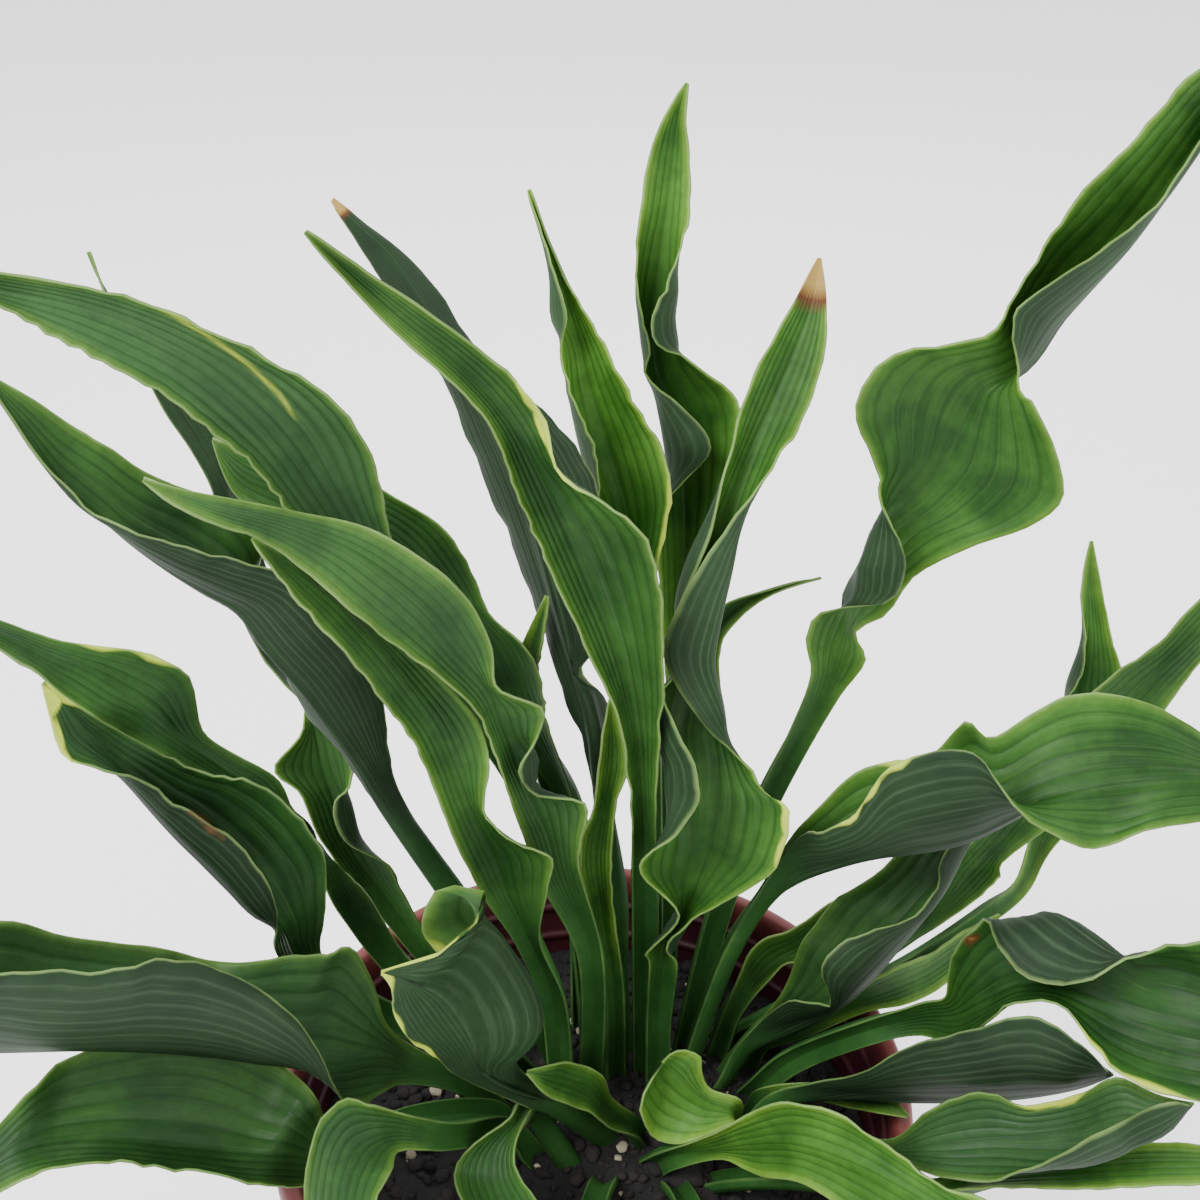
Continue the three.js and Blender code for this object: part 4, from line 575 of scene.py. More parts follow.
# %% Leaves of the lower right
LEAVES["AA"] = dict(
    root=(52, 21), light=0.1,
    stalk=[(790, 1062, 13), (870, 1030, -1)],
    left=[(925, 1003, -8), (944, 998, -12), (948, 972, -14), (958, 946, -16), (985, 921, -20),
        (998, 948, -34), (1030, 980, -44), (1082, 984, -46), (1120, 964, -46), (1165, 948, -46),
        (1215, 950, -52)],
    rib=[(925, 1018, -8), (955, 1015, -15), (985, 1000, -22), (1020, 985, -28), (1050, 985, -33),
        (1080, 992, -38), (1115, 1002, -42), (1150, 1012, -47), (1190, 1022, -52), (1230, 1030, -58),
        (1262, 1038, -64)],
    right=[(922, 1036, -10), (952, 1045, -22), (978, 1028, -32), (1015, 1002, -40), (1060, 1003, -46),
        (1085, 1032, -52), (1112, 1066, -60), (1150, 1088, -66), (1195, 1100, -70), (1235, 1098, -74),
        (1270, 1085, -76)],
    tip=(1310, 1070, -74),
    bow_left=[0.1, 0.15, 0.2, 0.4, 0.7, 1.2, 1.2, 1, 0.8, 0.5, 0.2],
    bow_right=[0.1, 0.15, 0.2, 0.2, 0.2],
    yellow=[(1150, 1092, 30, 0.6), (1095, 1050, 22, 0.5)],
    dry=[(971, 941, 8, 0.6), (1016, 960, 8, 0.5)],
)
LEAVES["AB"] = dict(
    root=(47, 1), light=0.15,
    stalk=[(780, 1098, -4)],
    left=[(858, 1076, -8), (905, 1060, -6), (960, 1040, -8), (1030, 1028, -14), (1075, 1048, -24)],
    rib=[(858, 1090, -18), (900, 1094, -22), (960, 1096, -28), (1020, 1094, -34), (1070, 1087, -40)],
    right=[(862, 1072, -24), (900, 1050, -30), (960, 1032, -38), (1030, 1016, -46), (1076, 1040, -50)],
    tip=(1112, 1074, -48),
    bow_left=[0.2],
    bow_right=[0.2],
)
LEAVES["AC"] = dict(
    root=(45, -7), light=0.3, bloom=0.6,
    stalk=[(780, 1138, -14), (850, 1148, -26)],
    left=[(893, 1138, -30), (930, 1110, -38), (985, 1093, -40), (1023, 1106, -44), (1075, 1096, -48),
        (1118, 1078, -54), (1160, 1095, -58)],
    rib=[(893, 1150, -34), (930, 1145, -42), (985, 1138, -46), (1030, 1135, -50), (1075, 1128, -54),
        (1118, 1115, -60), (1165, 1115, -66)],
    right=[(895, 1162, -38), (935, 1175, -52), (985, 1180, -60), (1030, 1168, -66), (1075, 1145, -68),
        (1120, 1122, -70), (1165, 1102, -72)],
    tip=(1192, 1104, -70),
    bow_left=[0.2],
    bow_right=[0.1, 0.1, 0.2, 0.5, 0.9, 1.2, 0.8],
    yellow=[(1040, 1098, 18, 0.7), (1066, 1098, 16, 0.7)],
)
LEAVES["AI"] = dict(
    root=(36, -13), light=0.65, thin=True,
    stalk=[(800, 1178, -38), (860, 1186, -50), (920, 1192, -52)],
    left=[(1000, 1166, -46), (1080, 1150, -50), (1150, 1142, -56), (1210, 1146, -62)],
    rib=[(1000, 1177, -51), (1080, 1168, -56), (1155, 1162, -63), (1220, 1162, -69)],
    right=[(1000, 1186, -56), (1080, 1188, -64), (1160, 1185, -70), (1220, 1182, -75)],
    tip=(1270, 1165, -78),
    bow_left=[0.12],
    bow_right=[0.12],
    yellow=[(850, 1135, 18, 0.5), (820, 1118, 16, 0.5)],
)
LEAVES["AJ"] = dict(
    root=(54, 10), light=0.3, thin=True,
    stalk=[(760, 1101, 8)],
    left=[(800, 1083, 4), (845, 1086, -4), (885, 1093, -14)],
    rib=[(803, 1091, 2), (848, 1096, -8), (885, 1102, -18)],
    right=[(806, 1099, -2), (850, 1108, -12), (885, 1114, -22)],
    tip=(908, 1116, -24),
    bow_left=[0.12],
    bow_right=[0.12],
)
print("leaves described:", len(LEAVES))

# %% [markdown]
# One cubic curve runs through all points of a margin or a midrib. Its slope at each
# point is weighed from the two neighbours. The points are spaced by the square root
# of their distance, which keeps tight curls from overshooting. A spline object could
# do the same, but arrays give every point of every leaf in one step.

# %% A smooth curve
def smooth(values, knots, at):
    """Cubic through values at knots: slope k is the mean of the rises before and
    after it, each weighed by the other's gap; the ends lean on their neighbour."""
    values = np.asarray(values, float).reshape(len(knots), -1)
    gaps = np.diff(knots)[:, None]
    rises = np.diff(values, axis=0) / gaps
    slopes = np.empty_like(values)
    slopes[1:-1] = (rises[:-1] * gaps[1:] + rises[1:] * gaps[:-1]) / (gaps[1:] + gaps[:-1])
    slopes[0] = 1.5 * rises[0] - 0.5 * slopes[1]
    slopes[-1] = 1.5 * rises[-1] - 0.5 * slopes[-2]
    i = np.clip(np.searchsorted(knots, at, side="right") - 1, 0, len(knots) - 2)
    width = gaps[i]
    t = ((at - knots[i]) / width[:, 0])[:, None]
    near = (2 * t**3 - 3 * t**2 + 1) * values[i] + (t**3 - 2 * t**2 + t) * width * slopes[i]
    far = (3 * t**2 - 2 * t**3) * values[i + 1] + (t**3 - t**2) * width * slopes[i + 1]
    return np.squeeze(near + far)


print("the curve through 0, 1, 0 at a quarter:", smooth([0, 1, 0], np.arange(3), np.array([0.5])))


# %% Directions
TINY = 1e-12


def unit(vectors):
    """Vectors scaled to length one."""
    return vectors / np.maximum(np.linalg.norm(vectors, axis=-1, keepdims=True), TINY)


print("3 across and 4 up, as a direction:", unit(np.array([3.0, 4.0])))

# %% [markdown]
# Every stalk stands in the crown on a short straight foot that leans towards the
# leaf. From there the left margin, the midrib and the right margin run side by side:
# close together along the stalk, apart in the blade, and together again at the tip.

# %% Foot of a stalk
FOOT_HEIGHT = 0.1565
COLLAR_HEIGHT = 0.172
STEEPEST_LEAN = 0.85


def footing(leaf):
    """Two points of the stalk's straight foot: its end in the crown and its collar."""
    ahead = sight(leaf["stalk"][0])
    root = np.array(leaf["root"]) * MILLIMETRE
    lean = ahead[:2] - root
    slant = min(np.linalg.norm(lean) / (ahead[2] - FOOT_HEIGHT), STEEPEST_LEAN)
    collar = root + unit(lean) * slant * (COLLAR_HEIGHT - FOOT_HEIGHT)
    return np.array([[*root, FOOT_HEIGHT], [*collar, COLLAR_HEIGHT]])


print("foot and collar of leaf M:", footing(LEAVES["M"]).round(4).tolist())

# %% Margins and midrib
STALK_HALF = 0.004
THIN_STALK_HALF = 0.003
STALK_LIFT = 0.0025
TIP_HALF = 0.0006


def side_points(rib, across, half, lift, k):
    """Left and right of point k: across made square to the rib, with a lift upward."""
    along = unit(rib[min(k + 1, len(rib) - 1)] - rib[max(k - 1, 0)])
    side = unit(across - (across @ along) * along)
    up = np.cross(side, along) * lift
    return rib[k] - side * half + up, rib[k] + side * half + up


def leaf_curves(leaf):
    """Left margin, midrib and right margin as point lists with shared knots."""
    left, middle, right = (sight(leaf[line]) for line in ("left", "rib", "right"))
    stalk = np.vstack([footing(leaf), sight(leaf["stalk"])])
    rib = np.vstack([stalk, middle, sight(leaf["tip"])[None]])
    across = unit(right[0] - left[0])
    half = THIN_STALK_HALF if leaf.get("thin") else STALK_HALF
    pairs = [side_points(rib, across, half, STALK_LIFT, k) for k in range(len(stalk))]
    tip = side_points(rib, across, TIP_HALF, 0, len(rib) - 1)
    left = np.vstack([[p[0] for p in pairs], left, tip[0][None]])
    right = np.vstack([[p[1] for p in pairs], right, tip[1][None]])
    steps = np.linalg.norm(np.diff(rib, axis=0), axis=1)
    knots = np.concatenate([[0], np.cumsum(np.sqrt(steps))])
    return left, rib, right, knots, len(stalk)


print("points along the midrib of leaf M:", len(leaf_curves(LEAVES["M"])[1]))

# %% [markdown]
# The upper face of a leaf is a function of two parameters: how far along the midrib,
# and how far across, from -1 at the left margin to 1 at the right. Even steps along
# the midrib keep the mesh even. Each half is a curve with one handle below it, so a
# single number turns a flat channel into a rolled flap.

# %% Steps along the midrib
CURVE_SAMPLES = 400
LOOK_AHEAD = 1 / 1000


def stations(rib, knots, count):
    """Knot values of evenly spaced places on the midrib, read off its summed length,
    and that length."""
    fine = np.linspace(0, knots[-1], CURVE_SAMPLES)
    steps = np.linalg.norm(np.diff(smooth(rib, knots, fine), axis=0), axis=1)
    length = np.concatenate([[0], np.cumsum(steps)])
    return np.interp(np.linspace(0, length[-1], count), length, fine), length[-1]


def heading(rib, knots, at):
    """Direction of the midrib: from just before each place to just after it."""
    step = knots[-1] * LOOK_AHEAD
    ahead = smooth(rib, knots, np.minimum(at + step, knots[-1]))
    return unit(ahead - smooth(rib, knots, np.maximum(at - step, 0)))


curves = leaf_curves(LEAVES["M"])
print("length of leaf M in metres:", round(float(stations(curves[1], curves[3], CURVE_SAMPLES)[1]), 3))

# %% The upper face
STALK_BOW = 0.12
TIP_BOW = 0.05


def half_blade(middle, edge, along, bow, sign, across):
    """Quadratic curves from rib (0) to margin (1): (1-a)^2 of the rib, 2a(1-a) of a
    handle and a^2 of the margin. The handle hangs below the straight line's middle
    by bow times its length. Also those lengths."""
    arm = edge - middle
    width = np.linalg.norm(arm, axis=1)
    up = unit(np.cross(arm * sign, along))
    handle = middle + 0.5 * arm - up * (bow * width)[:, None]
    a = np.abs(across)[None, :, None]
    return (1 - a)**2 * middle[:, None] + 2 * a * (1 - a) * handle[:, None] + a**2 * edge[:, None], width


def leaf_face(leaf, count, across):
    """Points of the face, widths of its two halves, how far each station has grown
    from the end of the stalk (0) to the tip (1), and the leaf's length."""
    left, rib, right, knots, stalk_count = leaf_curves(leaf)
    at, length = stations(rib, knots, count)
    middle = smooth(rib, knots, at)
    along = heading(rib, knots, at)
    blade = np.linspace(0, 1, len(leaf["rib"]))
    grid = np.empty((count, len(across), 3))
    half_width = np.empty((count, 2))
    sides = [(left, leaf["bow_left"], -1, across < 0), (right, leaf["bow_right"], 1, across >= 0)]
    for k, (margin, bows, sign, own) in enumerate(sides):
        given = np.interp(blade, np.linspace(0, 1, len(bows)), bows)
        bow = smooth(np.concatenate([np.full(stalk_count, STALK_BOW), given, [TIP_BOW]]), knots, at)
        edge = smooth(margin, knots, at)
        grid[:, own], half_width[:, k] = half_blade(middle, edge, along, bow, sign, across[own])
    grown = np.clip((at - knots[stalk_count - 1]) / (knots[-1] - knots[stalk_count - 1]), 0, 1)
    return grid, half_width, grown, length


print("grid of leaf M:", leaf_face(LEAVES["M"], 40, np.linspace(-1, 1, 9))[0].shape)


# %% Which way is up
def grid_normals(grid):
    """Upper normals: the direction across crossed with the direction along."""
    return unit(np.cross(np.gradient(grid, axis=1), np.gradient(grid, axis=0)))


flat_grid = np.stack([*np.meshgrid([0.0, 1.0], [0.0, 1.0]), np.zeros((2, 2))], axis=-1)
print("up on a level grid:", grid_normals(flat_grid)[0, 0])

# %% [markdown]
# A hosta blade is pleated: five parallel veins a side, four on a narrow leaf, lie in
# shallow grooves, and the leaf puffs up a little between them. The pleats are
# modelled, not painted, by pushing the grid in and out along its normals. So are the
# small waves of the margins.

# %% Pleats
VEINS_WIDE = 5
VEINS_NARROW = 4
NARROW_WIDTH = 0.011
PLEAT_DEPTH = 0.00035
PLEAT_FULL_WIDTH = 0.022
PLEAT_MARGIN_FADE = 4
PLEAT_STALK_FADE = 6


def by_side(across, pair):
    """One value for each side, spread over the grid: left of the rib, right of it."""
    return np.where(across[None, :] < 0, pair[:, :1], pair[:, 1:])


def pleats(across, veins, half_width, grown):
    """Groove depth: a raised cosine with a groove on each vein, deepest on broad
    stretches, and nothing on the stalk, the margin and the tip."""
    wave = 0.5 + 0.5 * np.cos(2 * np.pi * veins * np.abs(across))
    fade = np.clip((1 - np.abs(across)) * PLEAT_MARGIN_FADE, 0, 1)
    half = by_side(across, half_width)
    strength = np.clip(half / PLEAT_FULL_WIDTH, 0, 1) * np.clip(grown * PLEAT_STALK_FADE, 0, 1)[:, None]
    return PLEAT_DEPTH * wave[None] * fade[None] * strength


test_across = np.linspace(-1, 1, 41)
test_pleats = pleats(test_across, VEINS_WIDE, np.full((1, 2), PLEAT_FULL_WIDTH), np.ones(1))
print("deepest groove in millimetres:", round(float(test_pleats.max() / MILLIMETRE), 2))

# %% Ruffled margins
RUFFLE = 0.0006
RUFFLE_PACES = (15, 80)
RUFFLE_WAVES = 6
RUFFLE_FULL_WIDTH = 0.012
RUFFLE_STALK_FADE = 8


def ruffles(across, half_width, grown, length, seed):
    """Small waves along each margin, sums of sines of random pace, that fade to
    nothing at half the way to the rib and on the stalk."""
    pick = np.random.default_rng(seed)
    total = np.zeros((len(grown), 2))
    for side in range(2):
        for pace in pick.uniform(*RUFFLE_PACES, RUFFLE_WAVES):
            total[:, side] += np.sin(2 * np.pi * (grown * length * pace + pick.uniform(0, 1))) / 3
    reach = np.clip(np.abs(across) * 2 - 1, 0, 1)**2
    broad = np.clip(half_width.min(axis=1) / RUFFLE_FULL_WIDTH, 0, 1)
    broad = broad * np.clip(grown * RUFFLE_STALK_FADE, 0, 1)
    return RUFFLE * by_side(across, total) * reach[None] * broad[:, None]


test_ruffles = ruffles(test_across, np.full((90, 2), 0.02), np.linspace(0, 1, 90), 0.3, 1)
print("highest ruffle in millimetres:", round(float(test_ruffles.max() / MILLIMETRE), 2))

# %% [markdown]
# The underside is the same grid set back by the thickness, with the midrib and the
# thick stalk standing out of it. Both grids are then sewn together round the margin
# into one closed skin, as a real leaf is. A Solidify modifier gives one thickness
# all over, and here it has to swell towards the rib.

# %% Thickness
MARGIN_THICKNESS = 0.0007
RIB_THICKNESS = 0.0032
RIB_REACH = 0.0022
RIB_TAPER = 1.3
THICKNESS_FADE = 5


def under_thickness(across, half_width, grown):
    """Thickness below the upper face: thin blade, plus a rounded rib that fills the
    stalk from side to side and narrows to a slim midrib towards the tip."""
    stalk = np.clip(1 - grown * THICKNESS_FADE, 0, 1)[:, None]
    reach = RIB_REACH + RIB_REACH * stalk
    away = np.abs(across)[None] * by_side(across, half_width)
    rib = np.exp(-(away / reach)**2) * (1 - grown[:, None])**RIB_TAPER
    margin = np.clip((1 - np.abs(across)) * THICKNESS_FADE, 0, 1)
    return MARGIN_THICKNESS + RIB_THICKNESS * rib * margin[None]


test_stalk = under_thickness(test_across, np.full((1, 2), STALK_HALF), np.zeros(1))
print("thickness of a stalk in millimetres:", round(float(test_stalk.max() / MILLIMETRE), 1))


# %% Closed skin
def closed_faces(count, width):
    """Quads of an upper and a lower grid, joined along both margins and both ends."""
    ring = 2 * width
    loop = np.concatenate([np.arange(width), np.arange(ring - 1, width - 1, -1)])
    turn = np.roll(loop, -1)
    rows = np.arange(count - 1)[:, None] * ring
    side = np.stack([rows + loop, rows + turn, rows + turn + ring, rows + loop + ring], axis=-1)
    j = np.arange(width - 1)
    start = np.stack([j, j + width, j + width + 1, j + 1], axis=-1)
    last = (count - 1) * ring
    end = np.stack([last + j, last + j + 1, last + j + width + 1, last + j + width], axis=-1)
    return np.concatenate([side.reshape(-1, 4), start, end])


print("quads round a block of two rows of three:", len(closed_faces(2, 3)))


# %% From arrays to a mesh
def mesh_piece(name, points, faces, values=None):
    """A mesh object from a point array and a face array, with named point values."""
    mesh = bpy.data.meshes.new(name)
    mesh.vertices.add(len(points))
    mesh.vertices.foreach_set("co", points.astype(np.float32).ravel())
    mesh.loops.add(faces.size)
    mesh.loops.foreach_set("vertex_index", faces.astype(np.int32).ravel())
    mesh.polygons.add(len(faces))
    mesh.polygons.foreach_set("loop_start", np.arange(0, faces.size, faces.shape[1], dtype=np.int32))
    mesh.update(calc_edges=True)
    mesh.polygons.foreach_set("use_smooth", np.ones(len(faces), dtype=bool))
    for key, value in (values or {}).items():
        layer = mesh.attributes.new(key, "FLOAT", "POINT")
        layer.data.foreach_set("value", np.broadcast_to(value, len(points)).astype(np.float32))
    mesh.validate()
    piece = bpy.data.objects.new(name, mesh)
    bpy.context.collection.objects.link(piece)
    return piece


print("meshes so far:", len(bpy.data.meshes))

# %% [markdown]
# The photographed plant has yellow patches, dry tips and one pale streak at known
# places. They are given in the picture, as the leaf points are, and become values on
# the mesh that the finish reads, so they stay on the leaf from every side.

# %% Spots and streaks
STREAK_REACH = 1.9


def spots(points, places):
    """How strongly each point lies in a list of (column, row, reach, strength) spots
    of the picture: a soft bell round each place, the strongest one counting."""
    shown = picture(points)
    total = np.zeros(points.shape[:-1])
    for column, row, reach, strength in places:
        far = ((shown[..., 0] - column)**2 + (shown[..., 1] - row)**2) / reach**2
        total = np.maximum(total, strength * np.exp(-far))
    return total


def streak(points, corners):
    """How near each point shows to a line through corners, given as (column, row):
    a bell over the distance to the nearest stretch of that line."""
    shown = picture(points)
    nearest = np.full(points.shape[:-1], np.inf)
    for start, end in zip(np.array(corners[:-1], float), np.array(corners[1:], float)):
        run = end - start
        t = np.clip((shown - start) @ run / (run @ run), 0, 1)
        nearest = np.minimum(nearest, np.linalg.norm(shown - start - t[..., None] * run, axis=-1))
    return np.exp(-(nearest / STREAK_REACH)**2)


print("leaves with spots:", [name for name, leaf in LEAVES.items() if "yellow" in leaf or "dry" in leaf])

# %% Values for the finish
def doubled(value):
    """One value a grid point, for the upper and for the lower grid."""
    return np.concatenate([value, value], axis=1).ravel()


def leaf_values(leaf, grid, across, half_width, grown, veins):
    """What the finish reads: how far across and along, distance to the margin in
    millimetres, 1 below and 0 above, the vein count, the light note of painted light
    and shade, the bloom tone note, and spots."""
    shape = grid.shape[:2]
    return {
        "across": doubled(np.broadcast_to(np.abs(across)[None], shape)),
        "along": doubled(np.broadcast_to(grown[:, None], shape)),
        "margin": doubled((1 - np.abs(across))[None] * by_side(across, half_width) / MILLIMETRE),
        "under": np.concatenate([np.zeros(shape), np.ones(shape)], axis=1).ravel(),
        "veins": float(veins),
        "light": float(leaf["light"]),
        "bloom": float(leaf.get("bloom", 0)),
        "yellow": doubled(spots(grid, leaf.get("yellow", []))),
        "streak": doubled(streak(grid, leaf["streak"])) if "streak" in leaf else 0.0,
        "dry": doubled(spots(grid, leaf.get("dry", []))),
    }


print("a doubled pair of grid points:", doubled(np.array([[1, 2]])))

# %% One leaf
STATION_GAP = 0.0032
STATIONS_LEAST = 40
STATIONS_MOST = 112
SAMPLES_PER_VEIN = 4


def make_leaf(name, leaf, material):
    """One closed leaf: the face pushed by ruffles and pleats, and its underside. The
    letters of its name, summed, are the seed of its ruffles."""
    left, rib, right = leaf_curves(leaf)[:3]
    reach = np.sum(np.linalg.norm(np.diff(rib, axis=0), axis=1))
    widest = max(np.linalg.norm(right - left, axis=1))
    veins = VEINS_NARROW if widest < 2 * NARROW_WIDTH else VEINS_WIDE
    count = int(np.clip(reach / STATION_GAP, STATIONS_LEAST, STATIONS_MOST))
    across = np.linspace(-1, 1, 2 * veins * SAMPLES_PER_VEIN + 1)
    grid, half_width, grown, length = leaf_face(leaf, count, across)
    normals = grid_normals(grid)
    seed = sum(ord(letter) for letter in name)
    push = ruffles(across, half_width, grown, length, seed) - pleats(across, veins, half_width, grown)
    upper = grid + normals * push[..., None]
    lower = upper - normals * under_thickness(across, half_width, grown)[..., None]
    points = np.concatenate([upper, lower], axis=1).reshape(-1, 3)
    values = leaf_values(leaf, grid, across, half_width, grown, veins)
    piece = mesh_piece(name, points, closed_faces(count, len(across)), values)
    piece.data.materials.append(material)
    return piece


print("faces a leaf has at most:", len(closed_faces(STATIONS_MOST, 2 * VEINS_WIDE * SAMPLES_PER_VEIN + 1)))

# %% [markdown]
# Finishes are node trees. Writing them link by link hides the sums, so a socket here
# adds and multiplies like a number, and one method makes every other node.

# %% Sockets that add up
class Socket:
    """An output in a node tree that can be used in sums."""

    def __init__(self, tree, output):
        self.tree = tree
        self.output = output

    def sum_with(self, operation, other=None, turned=False):
        """A Math node on this value and another, the other one first if turned."""
        first, second = (other, self) if turned else (self, other)
        node = self.tree.nodes.new("ShaderNodeMath")
        node.operation = operation
        for place, value in zip(node.inputs, (first, second)):
            connect(self.tree, place, value)
        return Socket(self.tree, node.outputs[0])

    def __add__(self, other):
        return self.sum_with("ADD", other)

    def __radd__(self, other):
        return self.sum_with("ADD", other)

    def __sub__(self, other):
        return self.sum_with("SUBTRACT", other)

    def __rsub__(self, other):
        return self.sum_with("SUBTRACT", other, turned=True)

    def __mul__(self, other):
        return self.sum_with("MULTIPLY", other)

    def __rmul__(self, other):
        return self.sum_with("MULTIPLY", other)

    def __pow__(self, other):
        return self.sum_with("POWER", other)

    def cosine(self):
        """The cosine of an angle in radians."""
        return self.sum_with("COSINE")

    def most(self, other):
        """The greater of two values."""
        return self.sum_with("MAXIMUM", other)

    def kept(self):
        """The value held between 0 and 1."""
        return self.sum_with("MINIMUM", 1.0).most(0.0)


def connect(tree, place, value):
    """Link a socket, or set a plain number or colour."""
    if isinstance(value, Socket):
        tree.links.new(value.output, place)
    elif value is not None:
        place.default_value = value


print("sums on sockets:", [name for name in vars(Socket) if name.startswith("__r")])


# %% A finish
class Finish:
    """A material with a Principled shader and short ways to add nodes."""

    def __init__(self, name, specular=0.5):
        self.material = bpy.data.materials.new(name)
        self.material.use_nodes = True
        self.tree = self.material.node_tree
        self.shader = self.tree.nodes["Principled BSDF"]
        self.shader.inputs["Specular IOR Level"].default_value = specular

    def node(self, kind, settings=None, inputs=None, output=0):
        """Any node: its type, its settings first, then its sockets' values or links."""
        made = self.tree.nodes.new(kind)
        for key, value in (settings or {}).items():
            setattr(made, key, value)
        for key, value in (inputs or {}).items():
            connect(self.tree, made.inputs[key], value)
        return Socket(self.tree, made.outputs[output])

    def value(self, name):
        """A named value that the mesh carries."""
        return self.node("ShaderNodeAttribute", {"attribute_name": name}, output="Fac")

    def place(self):
        """Object coordinates, here the place in metres."""
        return self.node("ShaderNodeTexCoord", output="Object")

    def noise(self, scale, detail=4.0, roughness=0.6, where=None):
        """Soft noise round 0.5, scale waves a metre, or on other coordinates."""
        inputs = {"Vector": where or self.place(), "Scale": scale, "Detail": detail, "Roughness": roughness}
        return self.node("ShaderNodeTexNoise", {}, inputs)

    def blend(self, factor, first, second):
        """The first colour at 0, the second at 1, a mix between."""
        inputs = {0: factor, 6: first, 7: second}
        return self.node("ShaderNodeMix", {"data_type": "RGBA"}, inputs, output=2)

    def bump(self, height, strength, distance):
        """Normals as if the surface stood out by height times distance."""
        inputs = {"Height": height, "Strength": strength, "Distance": distance}
        return self.node("ShaderNodeBump", {}, inputs)

    def set(self, **sockets):
        """Feed the shader's sockets, named with _ for a space."""
        for key, value in sockets.items():
            connect(self.tree, self.shader.inputs[key.replace("_", " ")], value)


print("a finish can:", [name for name in vars(Finish) if not name.startswith("_")])


# %% Colours
def colour(red, green, blue):
    """A colour picked on screen, 0 to 255, as the linear light that shaders use."""
    light = [(c / 255 / 12.92) if c < 11 else ((c / 255 + 0.055) / 1.055)**2.4 for c in (red, green, blue)]
    return (*light, 1.0)


print("middle grey as light:", round(colour(128, 128, 128)[0], 3))

# %% [markdown]
# The leaf finish is green in two tones that change with the leaf's own light note,
# and noise chooses between them in soft clouds. Most pairs below are the colour on a
# shaded leaf and on one that catches the light.

# %% Leaf colours
DEEP_GREEN = colour(11, 36, 12), colour(36, 80, 20)
FRESH_GREEN = colour(29, 69, 24), colour(90, 140, 52)
GROOVE_SHADE_GREEN = colour(8, 28, 10), colour(24, 64, 12)
DULL_UNDERSIDE = colour(9, 23, 11), colour(28, 54, 26)
BRIGHT_UNDERSIDE = colour(25, 43, 25), colour(50, 76, 46)
STALK_GREENS = colour(25, 60, 24), colour(50, 92, 40)
BROWN_AND_STRAW = colour(84, 52, 30), colour(148, 124, 66)
GREY_BLOOM = colour(60, 90, 58)
PALE_FIBRE = colour(112, 150, 84)
DARK_FIBRE = colour(6, 26, 8)
LIT_MARGIN = colour(124, 160, 54)
PALE_RIB = colour(92, 116, 86)
PAINTED_SHADE_BLOTCH = colour(14, 34, 14)
DARK_SPECK = colour(18, 36, 20)
YELLOW_GREEN = colour(168, 184, 60)
CREAM = colour(136, 164, 98)
print("deep green in shade and in light:", [round(tone[1], 3) for tone in DEEP_GREEN])

# %% What the leaf mesh tells its finish
LEAF_VALUES = ("across", "along", "margin", "under", "light", "bloom", "yellow", "streak", "dry")
leaf_finish = Finish("hosta_leaf", specular=0.12)
blend = leaf_finish.blend
across, along, margin, under, light, bloom, yellow, streaked, dry = map(leaf_finish.value, LEAF_VALUES)
on_blade = (along * 7).kept()
off_margin = (margin * 0.5).kept()
print("values read from the mesh:", *LEAF_VALUES)

# %% [markdown]
# Three patterns carry the detail. Veins are a cosine across the blade, raised to a
# power so that only its crests stay. Clouds and specks are noise in the leaf's place.
# Fibres are noise on a strip that runs fast across the blade and slowly along it. In
# the cells that follow, noise times a gain, less a threshold, held between 0 and 1,
# makes soft patches: the gain sharpens their edge and the threshold thins them out.

# %% Veins, clouds and fibres
FULL_TURN = 2 * math.pi
SHADE_BLOTCH_SCALE = 12.0
CLOUD_SCALE = 28.0
SPECK_SCALE = 420.0
FIBRES_ACROSS = 34
FIBRES_ALONG = 5
LEAF_SHIFT = 60
turns = across * leaf_finish.value("veins")
wave = (turns * FULL_TURN).cosine() * 0.5 + 0.5
rib_wave = (turns * (2 * FULL_TURN)).cosine() * 0.5 + 0.5
veins = wave ** 7 * on_blade * off_margin
ribs = rib_wave ** 5 * on_blade * off_margin
cloud = leaf_finish.noise(CLOUD_SCALE)
shade_blotch = leaf_finish.noise(SHADE_BLOTCH_SCALE, 3.0)
speck = leaf_finish.noise(SPECK_SCALE, 2.0)
strip = leaf_finish.node("ShaderNodeCombineXYZ", {}, {
    0: across * FIBRES_ACROSS, 1: along * FIBRES_ALONG, 2: light * LEAF_SHIFT})
fibre = leaf_finish.noise(1.0, 3.0, 0.7, strip)
pale_fibre = (fibre * 3 - 1.5).kept()
dark_fibre = (1.3 - fibre * 3).kept()
print("nodes for the patterns:", len(leaf_finish.tree.nodes))

# %% Upper side of the leaf
# Painted light: each leaf's light note picks between its colour in shade and its colour in light.
deep = blend(light, *DEEP_GREEN)
fresh = blend(light, *FRESH_GREEN)
# Painted light and shade: the lit fresh green gains towards the margins, so the blade shows shaded along the
# midrib.
upper = blend((cloud * 2.7 - 1.1 + across ** 2 * 0.45).kept(), deep, fresh)
upper = blend((cloud + bloom - 0.3).kept() * bloom, upper, GREY_BLOOM)
# Painted shade: the grooves of the veins are darkened.
upper = blend(veins * 0.42, upper, blend(light, *GROOVE_SHADE_GREEN))
upper = blend(pale_fibre * 0.16, upper, PALE_FIBRE)
upper = blend(dark_fibre * 0.45, upper, DARK_FIBRE)
# Painted light: a lime glow along the margins of leaves that catch the light.
painted_margin_glow = ((3.2 - margin + (cloud - 0.5) * 3) * 0.35).kept() * light * 0.75
upper = blend(painted_margin_glow * on_blade, upper, LIT_MARGIN)
print("nodes with the upper side:", len(leaf_finish.tree.nodes))
